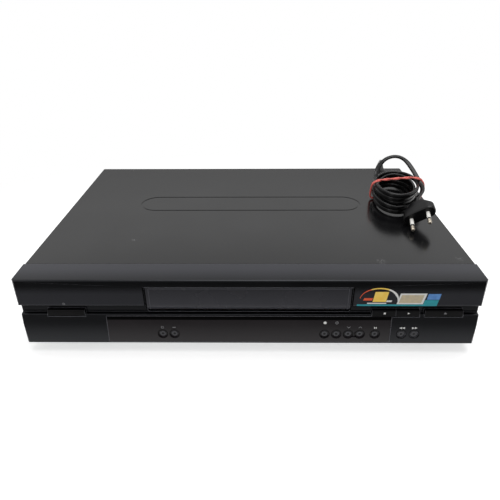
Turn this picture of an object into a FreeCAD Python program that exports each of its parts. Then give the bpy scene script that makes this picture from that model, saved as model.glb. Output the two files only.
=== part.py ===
import FreeCAD, Part
import math
import os

Vector = FreeCAD.Vector

# A video cassette recorder, in millimetres. X runs to the viewer's right,
# Y from the front to the rear and Z up. The origin is on the floor, under
# the middle of the case.

# Case
case_width = 430.0
case_depth = 284.0
foot_height = 10.5
body_height = 73.5
sheet = 1.0
cover_bend = 3.0
rear_flange = 9.0
skirt_lift = 1.5
socket_proud = 3.0
fit_gap = 0.2
key_gap = 0.3
shaft_gap = 0.05

# Front moulding, as depths behind the front edge and heights above the floor
moulding_depth = 27.2
moulding_drop = 0.2
moulding_wall = 3.0
front_chamfer = 2.0
panel_lean = 3.0
ledge_height = 43.2
groove_depth = 6.5
visor_bottom = 54.7
visor_lean = 1.0
bottom_lip = 8.0

# Cassette door
door_half_width = 95.0
door_top = 75.2
door_lip_bottom = 48.6
door_wall = 2.0
door_gap = 0.4
slot_sill = 44.3
door_pivot_depth = 3.3
door_pivot_height = 73.9
door_pin_radius = 1.1
door_ear_width = 2.5
spring_wire = 0.5
spring_turns = 5

# Window in the lower panel
window_half_width = 134.5
window_top = 41.0
window_bottom = 12.8
window_wall = 1.8
window_seam = 0.15
tube_half_width = 38.0
tube_bottom = 18.0
tube_top = 36.0
tube_depth = 5.6

# Buttons and keys
key_bottom = 41.0
key_top = 47.7
key_proud = 3.0
key_length = 5.5
stem_size = 4.0
button_height = 21.5
button_radius = 3.0
button_recess = 4.2
button_sunk = 0.7
button_travel = 0.8
switch_gap = 0.1
power_key = (-190.0, -154.5)
stop_key = (115.7, 137.6)
play_key = (138.2, 160.1)
eject_key = (164.9, 200.4)
channel_down_x = 94.9
channel_up_x = 105.9
timer_x = -82.3
link_x = -71.1
record_x = 72.4
timer_record_x = 83.6
pause_x = 120.2
rewind_x = 145.3
fast_forward_x = 157.5

# Front board and its switches
front_board_depth = 16.0
board_thick = 1.6
front_board_top = 43.0
front_board_wing = 48.0
front_board_wing_start = 108.0
front_board_half_width = 205.0
switch_size = 6.0
switch_depth = 4.4
plunger_length = 1.1

# Lower case, feet and screws
tray_flange = 18.0
foot_radius = 16.0
foot_base_radius = 14.0
foot_side_inset = 50.0
foot_front_inset = 42.0
foot_rear_inset = 46.0
screw_radius = 1.5
screw_head_radius = 3.5
screw_head_height = 2.0
screw_length = 8.0
rear_screw_x = 150.0
side_screw_height = 22.0
side_screw_y = (-60.0, 95.0)

# Stamped bead on the cover
bead_length = 262.0
bead_width = 38.0
bead_centre_depth = 163.5
bead_line = 2.6
bead_sunk = 0.4

# Deck
deck_height = 27.0
deck_thick = 1.2
deck_half_width = 105.0
deck_front_inset = 29.5
deck_rear = 92.0
deck_corner = 3.0
deck_slot_inset = 21.0
deck_post_radius = 4.0
deck_post_inset = 7.0
board_post_radius = 3.0
board_post_inset = 8.0
main_board_lift = 3.5
main_board_side_gap = 9.0
main_board_front = -98.0
main_board_rear_gap = 1.0

# Cassette and the carriage that takes it in
cassette_width = 187.0
cassette_height = 25.0
cassette_depth = 103.0
cassette_sill = 44.8
cassette_seat = 32.0
cassette_stick_out = 27.0
carriage_travel = 59.0
holder_wall = 1.0
holder_lip = 10.0
holder_length = 48.0
slider_wall = 1.0
slider_length = 26.0
frame_wall = 1.2
frame_top = 79.8

# Head drum
drum_radius = 31.0
drum_y = 38.0
drum_middle = 47.5
drum_tilt = 6.0
drum_lower = 11.5
drum_upper = 14.0
drum_shaft_radius = 2.0
drum_base_height = 31.6
drum_base_thick = 2.0
drum_gap = 0.4

# Tape guides on their loading arms
guide_pivot = (11.95, 23.27)
guide_rest = (18.0, -15.0)
guide_base_radius = 4.0
guide_roller_radius = 3.0
guide_top = 50.0
arm_thick = 1.6
arm_half_width = 3.5
pin_radius = 2.0

# Capstan, belt, clutch and reels
capstan_x = 60.0
capstan_y = -1.0
capstan_radius = 2.0
capstan_top = 58.0
flywheel_radius = 28.0
flywheel_thick = 4.6
belt_height = 19.4
belt_size = 1.6
capstan_pulley_radius = 6.8
clutch_y = -50.0
clutch_pulley_radius = 11.0
clutch_wheel_radius = 17.5
clutch_windows = 6
clutch_window_reach = 12.0
clutch_window_radius = 3.0
pulley_flange = 1.4
reel_x = 44.5
reel_y = -69.5
reel_radius = 20.0
spindle_radius = 7.0
spindle_top = 41.5
reel_pin_radius = 1.5
reel_washer = 0.6
reel_teeth = 30
tooth_radius = 0.9
idler_reach = 26.0
idler_radius = 8.0

# Pinch roller, tension arm, heads and loading drive
pinch_pivot = (90.0, 20.0)
pinch_rest = (63.6, 19.2)
pinch_radius = 8.0
tension_pivot = (-72.0, 12.0)
tension_rest = (-58.0, -14.0)
control_head = (62.0, 38.0)
erase_head = (-62.0, 34.0)
cam_side_inset = 33.0
cam_y = 66.0
cam_radius = 18.0
cam_teeth = 36
cam_top = 41.0
cam_bottom = 36.0
worm_radius = 3.5
worm_clearance = 0.5
motor_radius = 10.0
motor_length = 18.0

# Power supply, tuner and sockets
socket_height = 28.0
scart_x = (-72.0, -8.0)
scart_width = 47.0
scart_tall = 15.0
scart_wall = 1.2
moat = 1.8
phono_x = (46.0, 66.0)
phono_rows = (25.0, 42.0)
phono_radius = 4.1
aerial_insets = (43.0, 67.0)
transformer_inset = 55.0
transformer_y = 92.0
aerial_radius = 4.8

# Mains lead
cord_diameter = 4.4
cord_side_inset = 28.0
cord_height = 30.0
gland_length = 20.0
gland_flange = 2.0
gland_flange_radius = 8.5
gland_neck_radius = 6.0
gland_wide_radius = 5.4
gland_tip_radius = 3.2
hank_side_inset = 40.5
hank_y = 28.5
hank_turn = 12.0
hank_half_width = 26.5
hank_half_length = 44.5
hank_step = 5.1
hank_lift = 4.95
hank_first = 4.4
hank_start = -0.125
hank_leg_turns = 1.25
hank_legs = 4
hank_last_turns = 0.625
hank_nodes_per_turn = 4
plug_side_inset = 32.1
plug_y = -41.9
plug_height = 13.4
plug_across = (0.775, -0.251, 0.58)
plug_back = (0.18, 0.968, 0.178)
plug_width = 35.3
plug_thick = 13.7
plug_body = 21.0
plug_tail = 11.0
plug_tail_radius = 3.6
tail_run = 1.5
pin_spacing = 18.6
mains_pin_radius = 2.0
mains_pin_length = 19.0
band_radius = 0.9
band_y = 33.0
band_margin = 0.65
band_corner = 3.0
arch_bulge = 1.2

# Places worked out from the sizes above
half_width = case_width / 2
foot_x = half_width - foot_side_inset
main_board_half_width = half_width - main_board_side_gap
aerial_x = tuple(inset - half_width for inset in aerial_insets)
transformer_x = half_width - transformer_inset
cam_x = cam_side_inset - deck_half_width
cord_x = half_width - cord_side_inset
hank_centre = (half_width - hank_side_inset, hank_y)
front_y = -(case_depth + socket_proud) / 2
rear_y = front_y + case_depth
top_z = foot_height + body_height
plug_face = (half_width - plug_side_inset, plug_y, top_z + plug_height)
cover_front_y = front_y + moulding_depth
inner_top = top_z - sheet
floor_top = foot_height + sheet
rear_panel_y = rear_y - 2 * sheet
socket_face = rear_y - sheet
main_board_z = floor_top + main_board_lift
board_top = main_board_z + board_thick
deck_top = deck_height + deck_thick
deck_front = front_y + deck_front_inset
moulding_top = top_z - moulding_drop
front_board_y = front_y + front_board_depth
arm_low = deck_top + fit_gap
cassette_drop = cassette_sill - cassette_seat


def box(x0, x1, y0, y1, z0, z1):
    return Part.makeBox(x1 - x0, y1 - y0, z1 - z0, Vector(x0, y0, z0))


def rod(x, y, z0, z1, radius):
    return Part.makeCylinder(radius, z1 - z0, Vector(x, y, z0))


def rod_along_y(x, z, y0, y1, radius):
    return Part.makeCylinder(radius, y1 - y0, Vector(x, y0, z), Vector(0, 1, 0))


def rod_along_x(y, z, x0, x1, radius):
    return Part.makeCylinder(radius, x1 - x0, Vector(x0, y, z), Vector(1, 0, 0))


def join(shapes):
    return shapes[0].fuse(shapes[1:]).removeSplitter()


def corner_wire(points, place):
    """A closed outline through (a, b, radius) points, each corner rounded by its radius."""
    corners = []
    for i, (a, b, radius) in enumerate(points):
        here = Vector(a, b, 0)
        back = points[i - 1]
        ahead = points[(i + 1) % len(points)]
        to_back = (Vector(back[0], back[1], 0) - here).normalize()
        to_ahead = (Vector(ahead[0], ahead[1], 0) - here).normalize()
        if radius == 0:
            corners.append((here, None, here))
            continue
        half = to_back.getAngle(to_ahead) / 2
        reach = radius / math.tan(half)
        inward = (to_back + to_ahead).normalize()
        middle = here + inward * (radius / math.sin(half) - radius)
        corners.append((here + to_back * reach, middle, here + to_ahead * reach))
    edges = []
    for i, (start, middle, end) in enumerate(corners):
        if middle is not None:
            arc = Part.Arc(place(start.x, start.y), place(middle.x, middle.y), place(end.x, end.y))
            edges.append(arc.toShape())
        following = corners[(i + 1) % len(corners)][0]
        if end.distanceToPoint(following) > 0.001:
            edges.append(Part.LineSegment(place(end.x, end.y), place(following.x, following.y)).toShape())
    return Part.Wire(edges)


def extrude_x(points, x0, x1):
    wire = corner_wire(points, lambda a, b: Vector(x0, a, b))
    return Part.Face(wire).extrude(Vector(x1 - x0, 0, 0))


def extrude_y(points, y0, y1):
    wire = corner_wire(points, lambda a, b: Vector(a, y0, b))
    return Part.Face(wire).extrude(Vector(0, y1 - y0, 0))


def extrude_z(points, z0, z1):
    wire = corner_wire(points, lambda a, b: Vector(a, b, z0))
    return Part.Face(wire).extrude(Vector(0, 0, z1 - z0))


def rectangle(a0, a1, b0, b1, radius):
    return [(a0, b0, radius), (a1, b0, radius), (a1, b1, radius), (a0, b1, radius)]


def bar(start, end, half_width, z0, z1):
    """A flat link with round ends between two points in plan."""
    a = Vector(start[0], start[1], z0)
    b = Vector(end[0], end[1], z0)
    along = (b - a).normalize()
    side = Vector(-along.y, along.x, 0) * half_width
    edges = [
        Part.LineSegment(a + side, b + side).toShape(),
        Part.Arc(b + side, b + along * half_width, b - side).toShape(),
        Part.LineSegment(b - side, a - side).toShape(),
        Part.Arc(a - side, a - along * half_width, a + side).toShape(),
    ]
    return Part.Face(Part.Wire(edges)).extrude(Vector(0, 0, z1 - z0))


def belt_loop(first, first_radius, second, second_radius, z0, z1):
    """The solid inside a tight loop around two circles."""
    a = Vector(first[0], first[1], z0)
    b = Vector(second[0], second[1], z0)
    span = b - a
    distance = span.Length
    angle = math.acos((first_radius - second_radius) / distance)
    base = math.atan2(span.y, span.x)

    def on_circle(centre, radius, turn):
        return centre + Vector(math.cos(turn), math.sin(turn), 0) * radius

    left_start = on_circle(a, first_radius, base + angle)
    left_end = on_circle(b, second_radius, base + angle)
    right_start = on_circle(b, second_radius, base - angle)
    right_end = on_circle(a, first_radius, base - angle)
    edges = [
        Part.LineSegment(left_start, left_end).toShape(),
        Part.Arc(
            on_circle(b, second_radius, base + angle),
            on_circle(b, second_radius, base),
            on_circle(b, second_radius, base - angle),
        ).toShape(),
        Part.LineSegment(right_start, right_end).toShape(),
        Part.Arc(
            on_circle(a, first_radius, base - angle),
            on_circle(a, first_radius, base + math.pi),
            on_circle(a, first_radius, base + angle),
        ).toShape(),
    ]
    return Part.Face(Part.Wire(edges)).extrude(Vector(0, 0, z1 - z0))


def slot(a0, a1, b0, b1):
    """A slot outline whose short ends are round."""
    radius = min(a1 - a0, b1 - b0) / 2 * 0.98
    return rectangle(a0, a1, b0, b1, radius)


def save(name, shape):
    if isinstance(shape, list):
        shape = Part.makeCompound(shape)
    shape.exportStep("parts/" + name + ".step")


def face_y(z):
    """Front of the leaning lower panel at a height."""
    return front_y + panel_lean * (z - foot_height) / (ledge_height - foot_height)


def visor_y(z):
    """Front of the visor at a height."""
    return front_y + visor_lean * (moulding_top - z) / (moulding_top - visor_bottom)


# Outer case


def screw_holes(radius_extra):
    """Screws through the cover: two countersunk on each side and two on the rear flange."""
    solids = []
    for side in (-1, 1):
        for y in side_screw_y:
            head = Part.makeCone(
                screw_head_radius + radius_extra,
                screw_radius + radius_extra,
                screw_head_height,
                Vector(side * half_width, y, side_screw_height),
                Vector(-side, 0, 0),
            )
            shank = Part.makeCylinder(
                screw_radius + radius_extra,
                screw_length,
                Vector(side * half_width, y, side_screw_height),
                Vector(-side, 0, 0),
            )
            solids.append(head.fuse(shank).removeSplitter())
    return solids


def rear_screws(radius_extra):
    solids = []
    height = inner_top - rear_flange / 2
    for x in (-rear_screw_x, rear_screw_x):
        head = rod_along_y(x, height, rear_y, rear_y + screw_head_height, screw_head_radius)
        shank = rod_along_y(x, height, rear_y - screw_length, rear_y, screw_radius + radius_extra)
        solids.append(head.fuse(shank).removeSplitter())
    return solids


def make_cover_screws():
    cross = 0.9
    places = [(side, y) for side in (-1, 1) for y in side_screw_y]
    screws = screw_holes(0)
    for i, (side, y) in enumerate(places):
        x = side * half_width
        recess = [
            box(x - cross, x + cross, y - 2 * cross, y + 2 * cross, side_screw_height - cross / 2,
                side_screw_height + cross / 2),
            box(x - cross, x + cross, y - cross / 2, y + cross / 2, side_screw_height - 2 * cross,
                side_screw_height + 2 * cross),
        ]
        screws[i] = screws[i].cut(recess)
    height = inner_top - rear_flange / 2
    face = rear_y + screw_head_height
    for x, screw in zip((-rear_screw_x, rear_screw_x), rear_screws(0)):
        recess = [
            box(x - 2 * cross, x + 2 * cross, face - cross, face + cross, height - cross / 2,
                height + cross / 2),
            box(x - cross / 2, x + cross / 2, face - cross, face + cross, height - 2 * cross,
                height + 2 * cross),
        ]
        screws.append(screw.cut(recess))
    save("cover_screws", screws)


def make_top_cover():
    skirt = foot_height + skirt_lift
    outer = extrude_y(
        [(-half_width, skirt, 0), (half_width, skirt, 0), (half_width, top_z, cover_bend),
         (-half_width, top_z, cover_bend)],
        cover_front_y, rear_y,
    )
    inner_half = half_width - sheet
    inner_bend = cover_bend - sheet
    inner = extrude_y(
        [(-inner_half, skirt - 1, 0), (inner_half, skirt - 1, 0), (inner_half, inner_top, inner_bend),
         (-inner_half, inner_top, inner_bend)],
        cover_front_y - 1, rear_y - sheet,
    )
    below_flange = box(-inner_half, inner_half, rear_y - 2 * sheet, rear_y + 1, skirt - 1,
                       inner_top - rear_flange)
    shell = outer.cut([inner, below_flange])
    bead_y = front_y + bead_centre_depth
    half_bead = bead_length / 2
    half_tall = bead_width / 2

    def ring(grow):
        round_end = half_tall + grow
        points = rectangle(-half_bead - grow, half_bead + grow, bead_y - half_tall - grow,
                           bead_y + half_tall + grow, round_end * 0.98)
        return extrude_z(points, top_z - bead_sunk, top_z + 1)

    groove = ring(bead_line / 2).cut(ring(-bead_line / 2))
    vents = []
    vent_count = 12
    vent_pitch = 8.0
    vent_start = 8.0
    for side in (-1, 1):
        x = side * half_width
        for row in (46.0, 64.0):
            for i in range(vent_count):
                y = vent_start + i * vent_pitch
                vents.append(extrude_x(slot(y, y + 2.6, row, row + 13), x - 2 * sheet, x + 2 * sheet))
    holes = screw_holes(0.1) + rear_screws(0.1)
    save("top_cover", shell.cut([groove] + vents + holes))


def key_list():
    return [power_key, stop_key, play_key, eject_key]


def button_list():
    return [channel_down_x, channel_up_x, timer_x, link_x, record_x, timer_record_x, pause_x,
            rewind_x, fast_forward_x]


def window_outline(extra, front_extra):
    low = window_bottom - extra
    high = window_top + extra
    return [
        (face_y(low) - front_extra, low, 0),
        (face_y(high) - front_extra, high, 0),
        (face_y(high) + window_wall, high, 0),
        (face_y(low) + window_wall, low, 0),
    ]


def button_recesses():
    """Recesses and bores for the round buttons, and the bar recess that joins two of them."""
    tools = []
    recess_back = face_y(button_height) + 1.0
    for x in button_list():
        tools.append(rod_along_y(x, button_height, front_y - 2, recess_back, button_recess))
        tools.append(rod_along_y(x, button_height, front_y - 2, front_y + 9, button_radius + fit_gap))
    bridge_half = 3.5
    tools.append(box(channel_down_x, channel_up_x, front_y - 2, recess_back, button_height - bridge_half,
                     button_height + bridge_half))
    return tools


def make_front_panel():
    wall = moulding_wall
    back = front_y + moulding_depth
    groove_back = front_y + groove_depth
    outline = [
        (front_y, foot_height, 1.6),
        (front_y + panel_lean, ledge_height, 0.8),
        (groove_back, ledge_height + 0.8, 0.5),
        (groove_back, visor_bottom - 1.2, 0.6),
        (front_y + visor_lean, visor_bottom, 1.0),
        (front_y, moulding_top - 0.6, 1.5),
        (back, moulding_top, 0),
        (back, foot_height, 0),
    ]
    shell = extrude_x(outline, -half_width, half_width)
    ledge_back = ledge_height + 0.8
    inner_outline = [
        (front_y + wall, foot_height + wall, 0),
        (front_y + panel_lean + wall, ledge_back - wall, 0),
        (groove_back + wall, ledge_back - wall, 0),
        (groove_back + wall, visor_bottom - 1.2 + wall, 0),
        (front_y + visor_lean + wall, visor_bottom + wall, 0),
        (front_y + wall, moulding_top - wall, 0),
        (back + 1, moulding_top - wall, 0),
        (back + 1, foot_height + wall, 0),
    ]
    inner_half = half_width - wall
    tools = [extrude_x(inner_outline, -inner_half, inner_half)]
    tools.append(box(-inner_half, inner_half, front_y + bottom_lip, back + 1, foot_height - 1,
                     foot_height + wall + 0.1))
    shell = shell.cut(tools)
    corners = []
    for side in (-1, 1):
        x = side * half_width
        corners.append(extrude_z(
            [(x - side * front_chamfer, front_y - 0.01, 0), (x + side, front_y - 0.01, 0),
             (x + side, front_y + front_chamfer, 0), (x, front_y + front_chamfer, 0)]
            if side > 0 else
            [(x, front_y + front_chamfer, 0), (x + side, front_y + front_chamfer, 0),
             (x + side, front_y - 0.01, 0), (x - side * front_chamfer, front_y - 0.01, 0)],
            0, top_z + 1))
    opening_half = door_half_width + door_gap
    openings = [extrude_y(
        [(-opening_half, slot_sill, 2.0), (opening_half, slot_sill, 2.0),
         (opening_half, door_top + door_gap, 0.4), (-opening_half, door_top + door_gap, 0.4)],
        front_y - 1, groove_back + wall + 1,
    )]
    openings.append(extrude_x(window_outline(window_seam, 4), -window_half_width - window_seam,
                              window_half_width + window_seam))
    openings.append(box(-tube_half_width - 2, tube_half_width + 2, front_y, front_y + 9, tube_bottom - 1,
                        tube_top + 1))
    for x0, x1 in key_list():
        openings.append(box(x0 - key_gap, x1 + key_gap, front_y - 1, groove_back + wall + 1,
                            key_bottom - key_gap, key_top + key_gap))
    openings += button_recesses()
    shell = shell.cut(corners + openings)
    ears = []
    ear_in = door_half_width + door_gap + 0.4
    pivot_y = front_y + door_pivot_depth
    for side in (-1, 1):
        x0 = side * ear_in
        x1 = side * (ear_in + door_ear_width)
        ear = box(min(x0, x1), max(x0, x1), visor_y(door_pivot_height) + wall - 1.0, pivot_y + 4.5,
                  door_pivot_height - 4, moulding_top - wall + 0.5)
        ears.append(ear)
    shell = join([shell] + ears)
    ear_out = ear_in + door_ear_width
    pocket_end = ear_out + spring_length() + 1.4
    bores = [
        rod_along_x(pivot_y, door_pivot_height, -ear_out - 1, ear_out + 1, door_pin_radius + shaft_gap),
        rod_along_x(pivot_y, door_pivot_height, -pocket_end, -ear_out,
                    spring_radius() + spring_wire / 2 + fit_gap),
    ]
    save("front_panel", shell.cut(bores))


def make_display_window():
    window = extrude_x(window_outline(0, 0), -window_half_width, window_half_width)
    save("display_window", window.cut(button_recesses()))


def make_bottom_plate():
    inner_half = half_width - sheet
    front = cover_front_y
    rear = rear_y - sheet
    plate = box(-inner_half, inner_half, front, rear, foot_height, floor_top)
    tongue_half = half_width - moulding_wall - fit_gap
    tongue = box(-tongue_half, tongue_half, front_y + bottom_lip + fit_gap, front, foot_height, floor_top)
    solids = [plate, tongue]
    for side in (-1, 1):
        x0 = side * inner_half
        x1 = side * (inner_half - sheet)
        solids.append(box(min(x0, x1), max(x0, x1), front, rear_panel_y - fit_gap, foot_height,
                          foot_height + tray_flange))
    tray = join(solids)
    vents = []
    for i in range(12):
        for x_start in (100.0, -196.0):
            x = x_start + i * 8.0
            vents.append(extrude_z(slot(x, x + 3, 40, 68), foot_height - 1, floor_top + 1))
    tray = tray.cut(vents + screw_holes(0.1))
    posts = [rod(x, y, floor_top, deck_height, deck_post_radius) for x, y in deck_posts()]
    posts += [rod(x, y, floor_top, main_board_z, board_post_radius) for x, y in board_posts()]
    save("bottom_plate", [tray] + posts)


def deck_posts():
    x = deck_half_width - deck_post_inset
    rows = (deck_front + deck_post_inset, deck_rear - deck_post_inset)
    return [(sx * x, y) for sx in (-1, 1) for y in rows]


def board_posts():
    edge = main_board_half_width - board_post_inset
    front = main_board_front + board_post_inset
    rear = rear_panel_y - 20
    middle = (front + rear) / 2
    return [(sx * edge, y) for sx in (-1, 1) for y in (front, middle, rear)] + [(0, rear)]


def foot_places():
    return [(sx * foot_x, y) for sx in (-1, 1)
            for y in (front_y + foot_front_inset, rear_y - foot_rear_inset)]


def make_feet():
    feet = []
    for x, y in foot_places():
        foot = Part.makeCone(foot_base_radius, foot_radius, foot_height, Vector(x, y, 0))
        hollow = rod(x, y, -1, 1.2, foot_base_radius - 4)
        feet.append(foot.cut(hollow))
    save("feet", feet)


def scart_nose(x, grow, y0, y1):
    half = scart_width / 2 + grow
    tall = scart_tall / 2 + grow
    z = socket_height
    points = [(x - half, z - tall, 1), (x + half, z - tall, 1), (x + half, z + tall * 0.25, 1),
              (x + half - 5, z + tall, 1), (x - half + 5, z + tall, 1), (x - half, z + tall * 0.25, 1)]
    return extrude_y(points, y0, y1)


def make_rear_panel():
    half = half_width - 2 * sheet - fit_gap
    plate = extrude_y([(-half, floor_top, 0), (half, floor_top, 0), (half, inner_top, cover_bend / 2),
                       (-half, inner_top, cover_bend / 2)], rear_panel_y, socket_face)
    tools = rear_screws(0.1)
    for x in scart_x:
        tools.append(scart_nose(x, fit_gap, rear_panel_y - 2, socket_face + 2))
    for x in phono_x:
        for z in phono_rows:
            tools.append(rod_along_y(x, z, rear_panel_y - 2, socket_face + 2, phono_radius + fit_gap))
    for x in aerial_x:
        tools.append(rod_along_y(x, aerial_z(), rear_panel_y - 2, socket_face + 2, aerial_radius + fit_gap))
    tools.append(rod_along_y(cord_x, cord_height, rear_panel_y - 2, socket_face + 2,
                             gland_neck_radius + fit_gap / 2))
    for i in range(9):
        x = 96 + i * 9
        tools.append(extrude_y(slot(x, x + 3, 52, 66), rear_panel_y - 2, socket_face + 2))
    save("rear_panel", plate.cut(tools))


# Front board, display and buttons


def make_front_board():
    y1 = front_board_y + board_thick
    half = front_board_half_width
    solids = [box(-half, half, front_board_y, y1, floor_top, front_board_top)]
    for side in (-1, 1):
        x0 = side * front_board_wing_start
        x1 = side * front_board_half_width
        solids.append(box(min(x0, x1), max(x0, x1), front_board_y, y1, floor_top, front_board_wing))
    for x in (-170.0, -60.0, 60.0, 175.0):
        solids.append(box(x - 9, x + 9, y1, y1 + 5, 24, 31))
    save("front_circuit_board", join(solids))


def plunger_front():
    return front_board_y - switch_depth - plunger_length


def switch_places():
    key_z = (key_bottom + key_top) / 2
    places = [((x0 + x1) / 2, key_z) for x0, x1 in key_list()]
    return places + [(x, button_height) for x in button_list()]


def make_tact_switches():
    switches = []
    half = switch_size / 2
    for x, z in switch_places():
        body = extrude_y(rectangle(x - half, x + half, z - half, z + half, 0.4),
                         front_board_y - switch_depth, front_board_y)
        plunger = rod_along_y(x, z, plunger_front(), front_board_y - switch_depth, 1.75)
        switches.append(join([body, plunger]))
    save("tact_switches", switches)


def make_display_tube():
    y0 = front_board_y - tube_depth
    half = tube_half_width
    tube = extrude_y(rectangle(-half, half, tube_bottom, tube_top, 1.5), y0, front_board_y)
    recess = extrude_y(rectangle(3 - half, half - 3, tube_bottom + 3, tube_top - 3, 1.0),
                       y0 - 1, y0 + 0.4)
    save("display_tube", tube.cut(recess))


def make_key(name, span):
    x0, x1 = span
    y0 = front_y + key_proud
    cap = extrude_x([(y0, key_bottom, 0.8), (y0, key_top, 1.2), (y0 + key_length, key_top, 0),
                     (y0 + key_length, key_bottom, 0)], x0, x1)
    x = (x0 + x1) / 2
    z = (key_bottom + key_top) / 2
    end = plunger_front() - button_travel - switch_gap
    half = stem_size / 2
    stem = box(x - half, x + half, y0 + key_length - 1, end, z - half, z + half)
    save(name, join([cap, stem]))


def make_button(name, x):
    y0 = face_y(button_height) + button_sunk
    back = front_y + 6.4
    cap = rod_along_y(x, button_height, y0, back, button_radius)
    cap = cap.makeFillet(0.5, [edge for edge in cap.Edges if edge.BoundBox.YMax < y0 + 0.01])
    collar = rod_along_y(x, button_height, back - 1.2, back, button_recess)
    end = plunger_front() - button_travel - switch_gap
    stem = rod_along_y(x, button_height, back, end, 1.5)
    save(name, join([cap, collar, stem]))


def make_buttons():
    make_key("power_button", power_key)
    make_key("stop_button", stop_key)
    make_key("play_button", play_key)
    make_key("eject_button", eject_key)
    make_button("channel_down_button", channel_down_x)
    make_button("channel_up_button", channel_up_x)
    make_button("timer_button", timer_x)
    make_button("link_button", link_x)
    make_button("record_button", record_x)
    make_button("timer_record_button", timer_record_x)
    make_button("pause_button", pause_x)
    make_button("rewind_button", rewind_x)
    make_button("fast_forward_button", fast_forward_x)


# Cassette door


def make_cassette_door():
    lip_y = front_y + 4.2
    wall = door_wall
    outline = [
        (visor_y(door_top), door_top, 0.4),
        (visor_y(visor_bottom - 1), visor_bottom - 1, 5.0),
        (lip_y, door_lip_bottom, 0.4),
        (lip_y + 1.5, door_lip_bottom + 1.2, 0.4),
        (visor_y(visor_bottom) + wall, visor_bottom + 1, 3.0),
        (visor_y(door_top) + wall, door_top, 0.4),
    ]
    leaf = extrude_x(outline, -door_half_width, door_half_width)
    pivot_y = front_y + door_pivot_depth
    solids = [leaf]
    reach = door_half_width + door_gap + 0.4 + door_ear_width
    for side in (-1, 1):
        x0 = side * (door_half_width - 3)
        x1 = side * door_half_width
        solids.append(rod_along_x(pivot_y, door_pivot_height, min(x0, x1), max(x0, x1), 1.4))
        pin_end = side * (reach - 0.2 if side > 0 else reach + spring_length() + 0.6)
        x1 = side * (door_half_width - 1)
        solids.append(rod_along_x(pivot_y, door_pivot_height, min(pin_end, x1), max(pin_end, x1),
                                  door_pin_radius))
    save("cassette_door", join(solids))


def spring_radius():
    return door_pin_radius + 0.3 + spring_wire / 2


def spring_length():
    return spring_turns * (spring_wire + 0.25)


def make_door_spring():
    """A small torsion spring round the end of the left door pin."""
    radius = spring_radius()
    pitch = spring_wire + 0.25
    height = spring_turns * pitch
    helix = Part.makeHelix(pitch, height, radius)
    start = Vector(radius, 0, 0)
    profile = Part.Wire(Part.makeCircle(spring_wire / 2, start, Vector(0, 1, 0)))
    coil = Part.Wire(helix.Edges).makePipeShell([profile], True, True)
    coil.rotate(Vector(0, 0, 0), Vector(0, 1, 0), -90)
    x = -(door_half_width + door_gap + 0.4 + door_ear_width) - spring_wire / 2 - 0.1
    coil.translate(Vector(x, front_y + door_pivot_depth, door_pivot_height))
    save("door_spring", coil)


# Boards and power supply


def make_main_board():
    rear = rear_panel_y - main_board_rear_gap
    half = main_board_half_width
    board = box(-half, half, main_board_front, rear, main_board_z, board_top)
    holes = [rod(x, y, main_board_z - 1, board_top + 1, deck_post_radius + 1) for x, y in deck_posts()]
    board = board.cut(holes)
    # chips as (share of the half width, y, across, along, tall), cans as (share, y, radius, tall)
    chips = [(-0.78, -40, 28, 28, 2.6), (-0.78, 20, 22, 14, 3.0), (-0.63, 60, 10, 24, 3.4),
             (0.78, -50, 26, 12, 3.2), (0.63, -20, 14, 20, 3.0), (-0.9, -75, 30, 8, 7.0),
             (0.9, -75, 24, 8, 7.0), (-0.58, -80, 12, 10, 6.0), (0.15, 104, 24, 12, 3.2),
             (-0.19, 104, 20, 10, 3.2), (0.45, 110, 10, 8, 6.0)]
    cans = [(-0.92, 40, 5, 11), (-0.85, 52, 4, 9), (-0.92, 60, 4, 9), (-0.54, 108, 4, 9),
            (-0.48, 108, 4, 9), (0.73, 0, 5, 11), (0.87, -20, 4, 9), (0.93, -32, 4, 9), (0.04, 108, 4, 9)]
    solids = [board]
    for share, y, across, along, tall in chips:
        x = share * half
        solids.append(box(x - across / 2, x + across / 2, y - along / 2, y + along / 2, board_top,
                          board_top + tall))
    for share, y, radius, tall in cans:
        solids.append(rod(share * half, y, board_top, board_top + tall, radius))
    save("main_circuit_board", solids)


def make_power_transformer():
    x = transformer_x
    y = transformer_y
    core = extrude_z(rectangle(x - 21, x + 21, y - 9, y + 9, 1), board_top, board_top + 34)
    windings = extrude_z(rectangle(x - 13, x + 13, y - 19, y + 19, 8), board_top + 6, board_top + 28)
    base = box(x - 17, x + 17, y - 19, y + 19, board_top, board_top + 3)
    save("power_transformer", join([core, windings, base]))


def make_filter_capacitors():
    # (x and y from the middle of the transformer, radius, tall)
    places = ((-42, -14, 9, 32), (-42, 10, 9, 32), (28, -32, 6.3, 22), (12, -32, 5, 18))
    cans = []
    for dx, dy, radius, tall in places:
        x = transformer_x + dx
        y = transformer_y + dy
        can = rod(x, y, board_top, board_top + tall, radius)
        groove = rod(x, y, board_top + 3, board_top + 4.4, radius + 1).cut(
            rod(x, y, board_top + 2, board_top + 6, radius - 0.5))
        cans.append(can.cut(groove))
    save("filter_capacitors", cans)


def make_heat_sink():
    x0 = transformer_x - 38
    x1 = x0 + 56
    y0 = transformer_y - 74
    solids = [box(x0, x1, y0, y0 + 3, board_top, board_top + 34)]
    fin_count = 9
    for i in range(fin_count):
        x = x0 + i * (x1 - x0 - 1.6) / (fin_count - 1)
        solids.append(box(x, x + 1.6, y0 + 2, y0 + 18, board_top + 2, board_top + 34))
    save("heat_sink", join(solids))


def aerial_z():
    return board_top + 13


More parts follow.
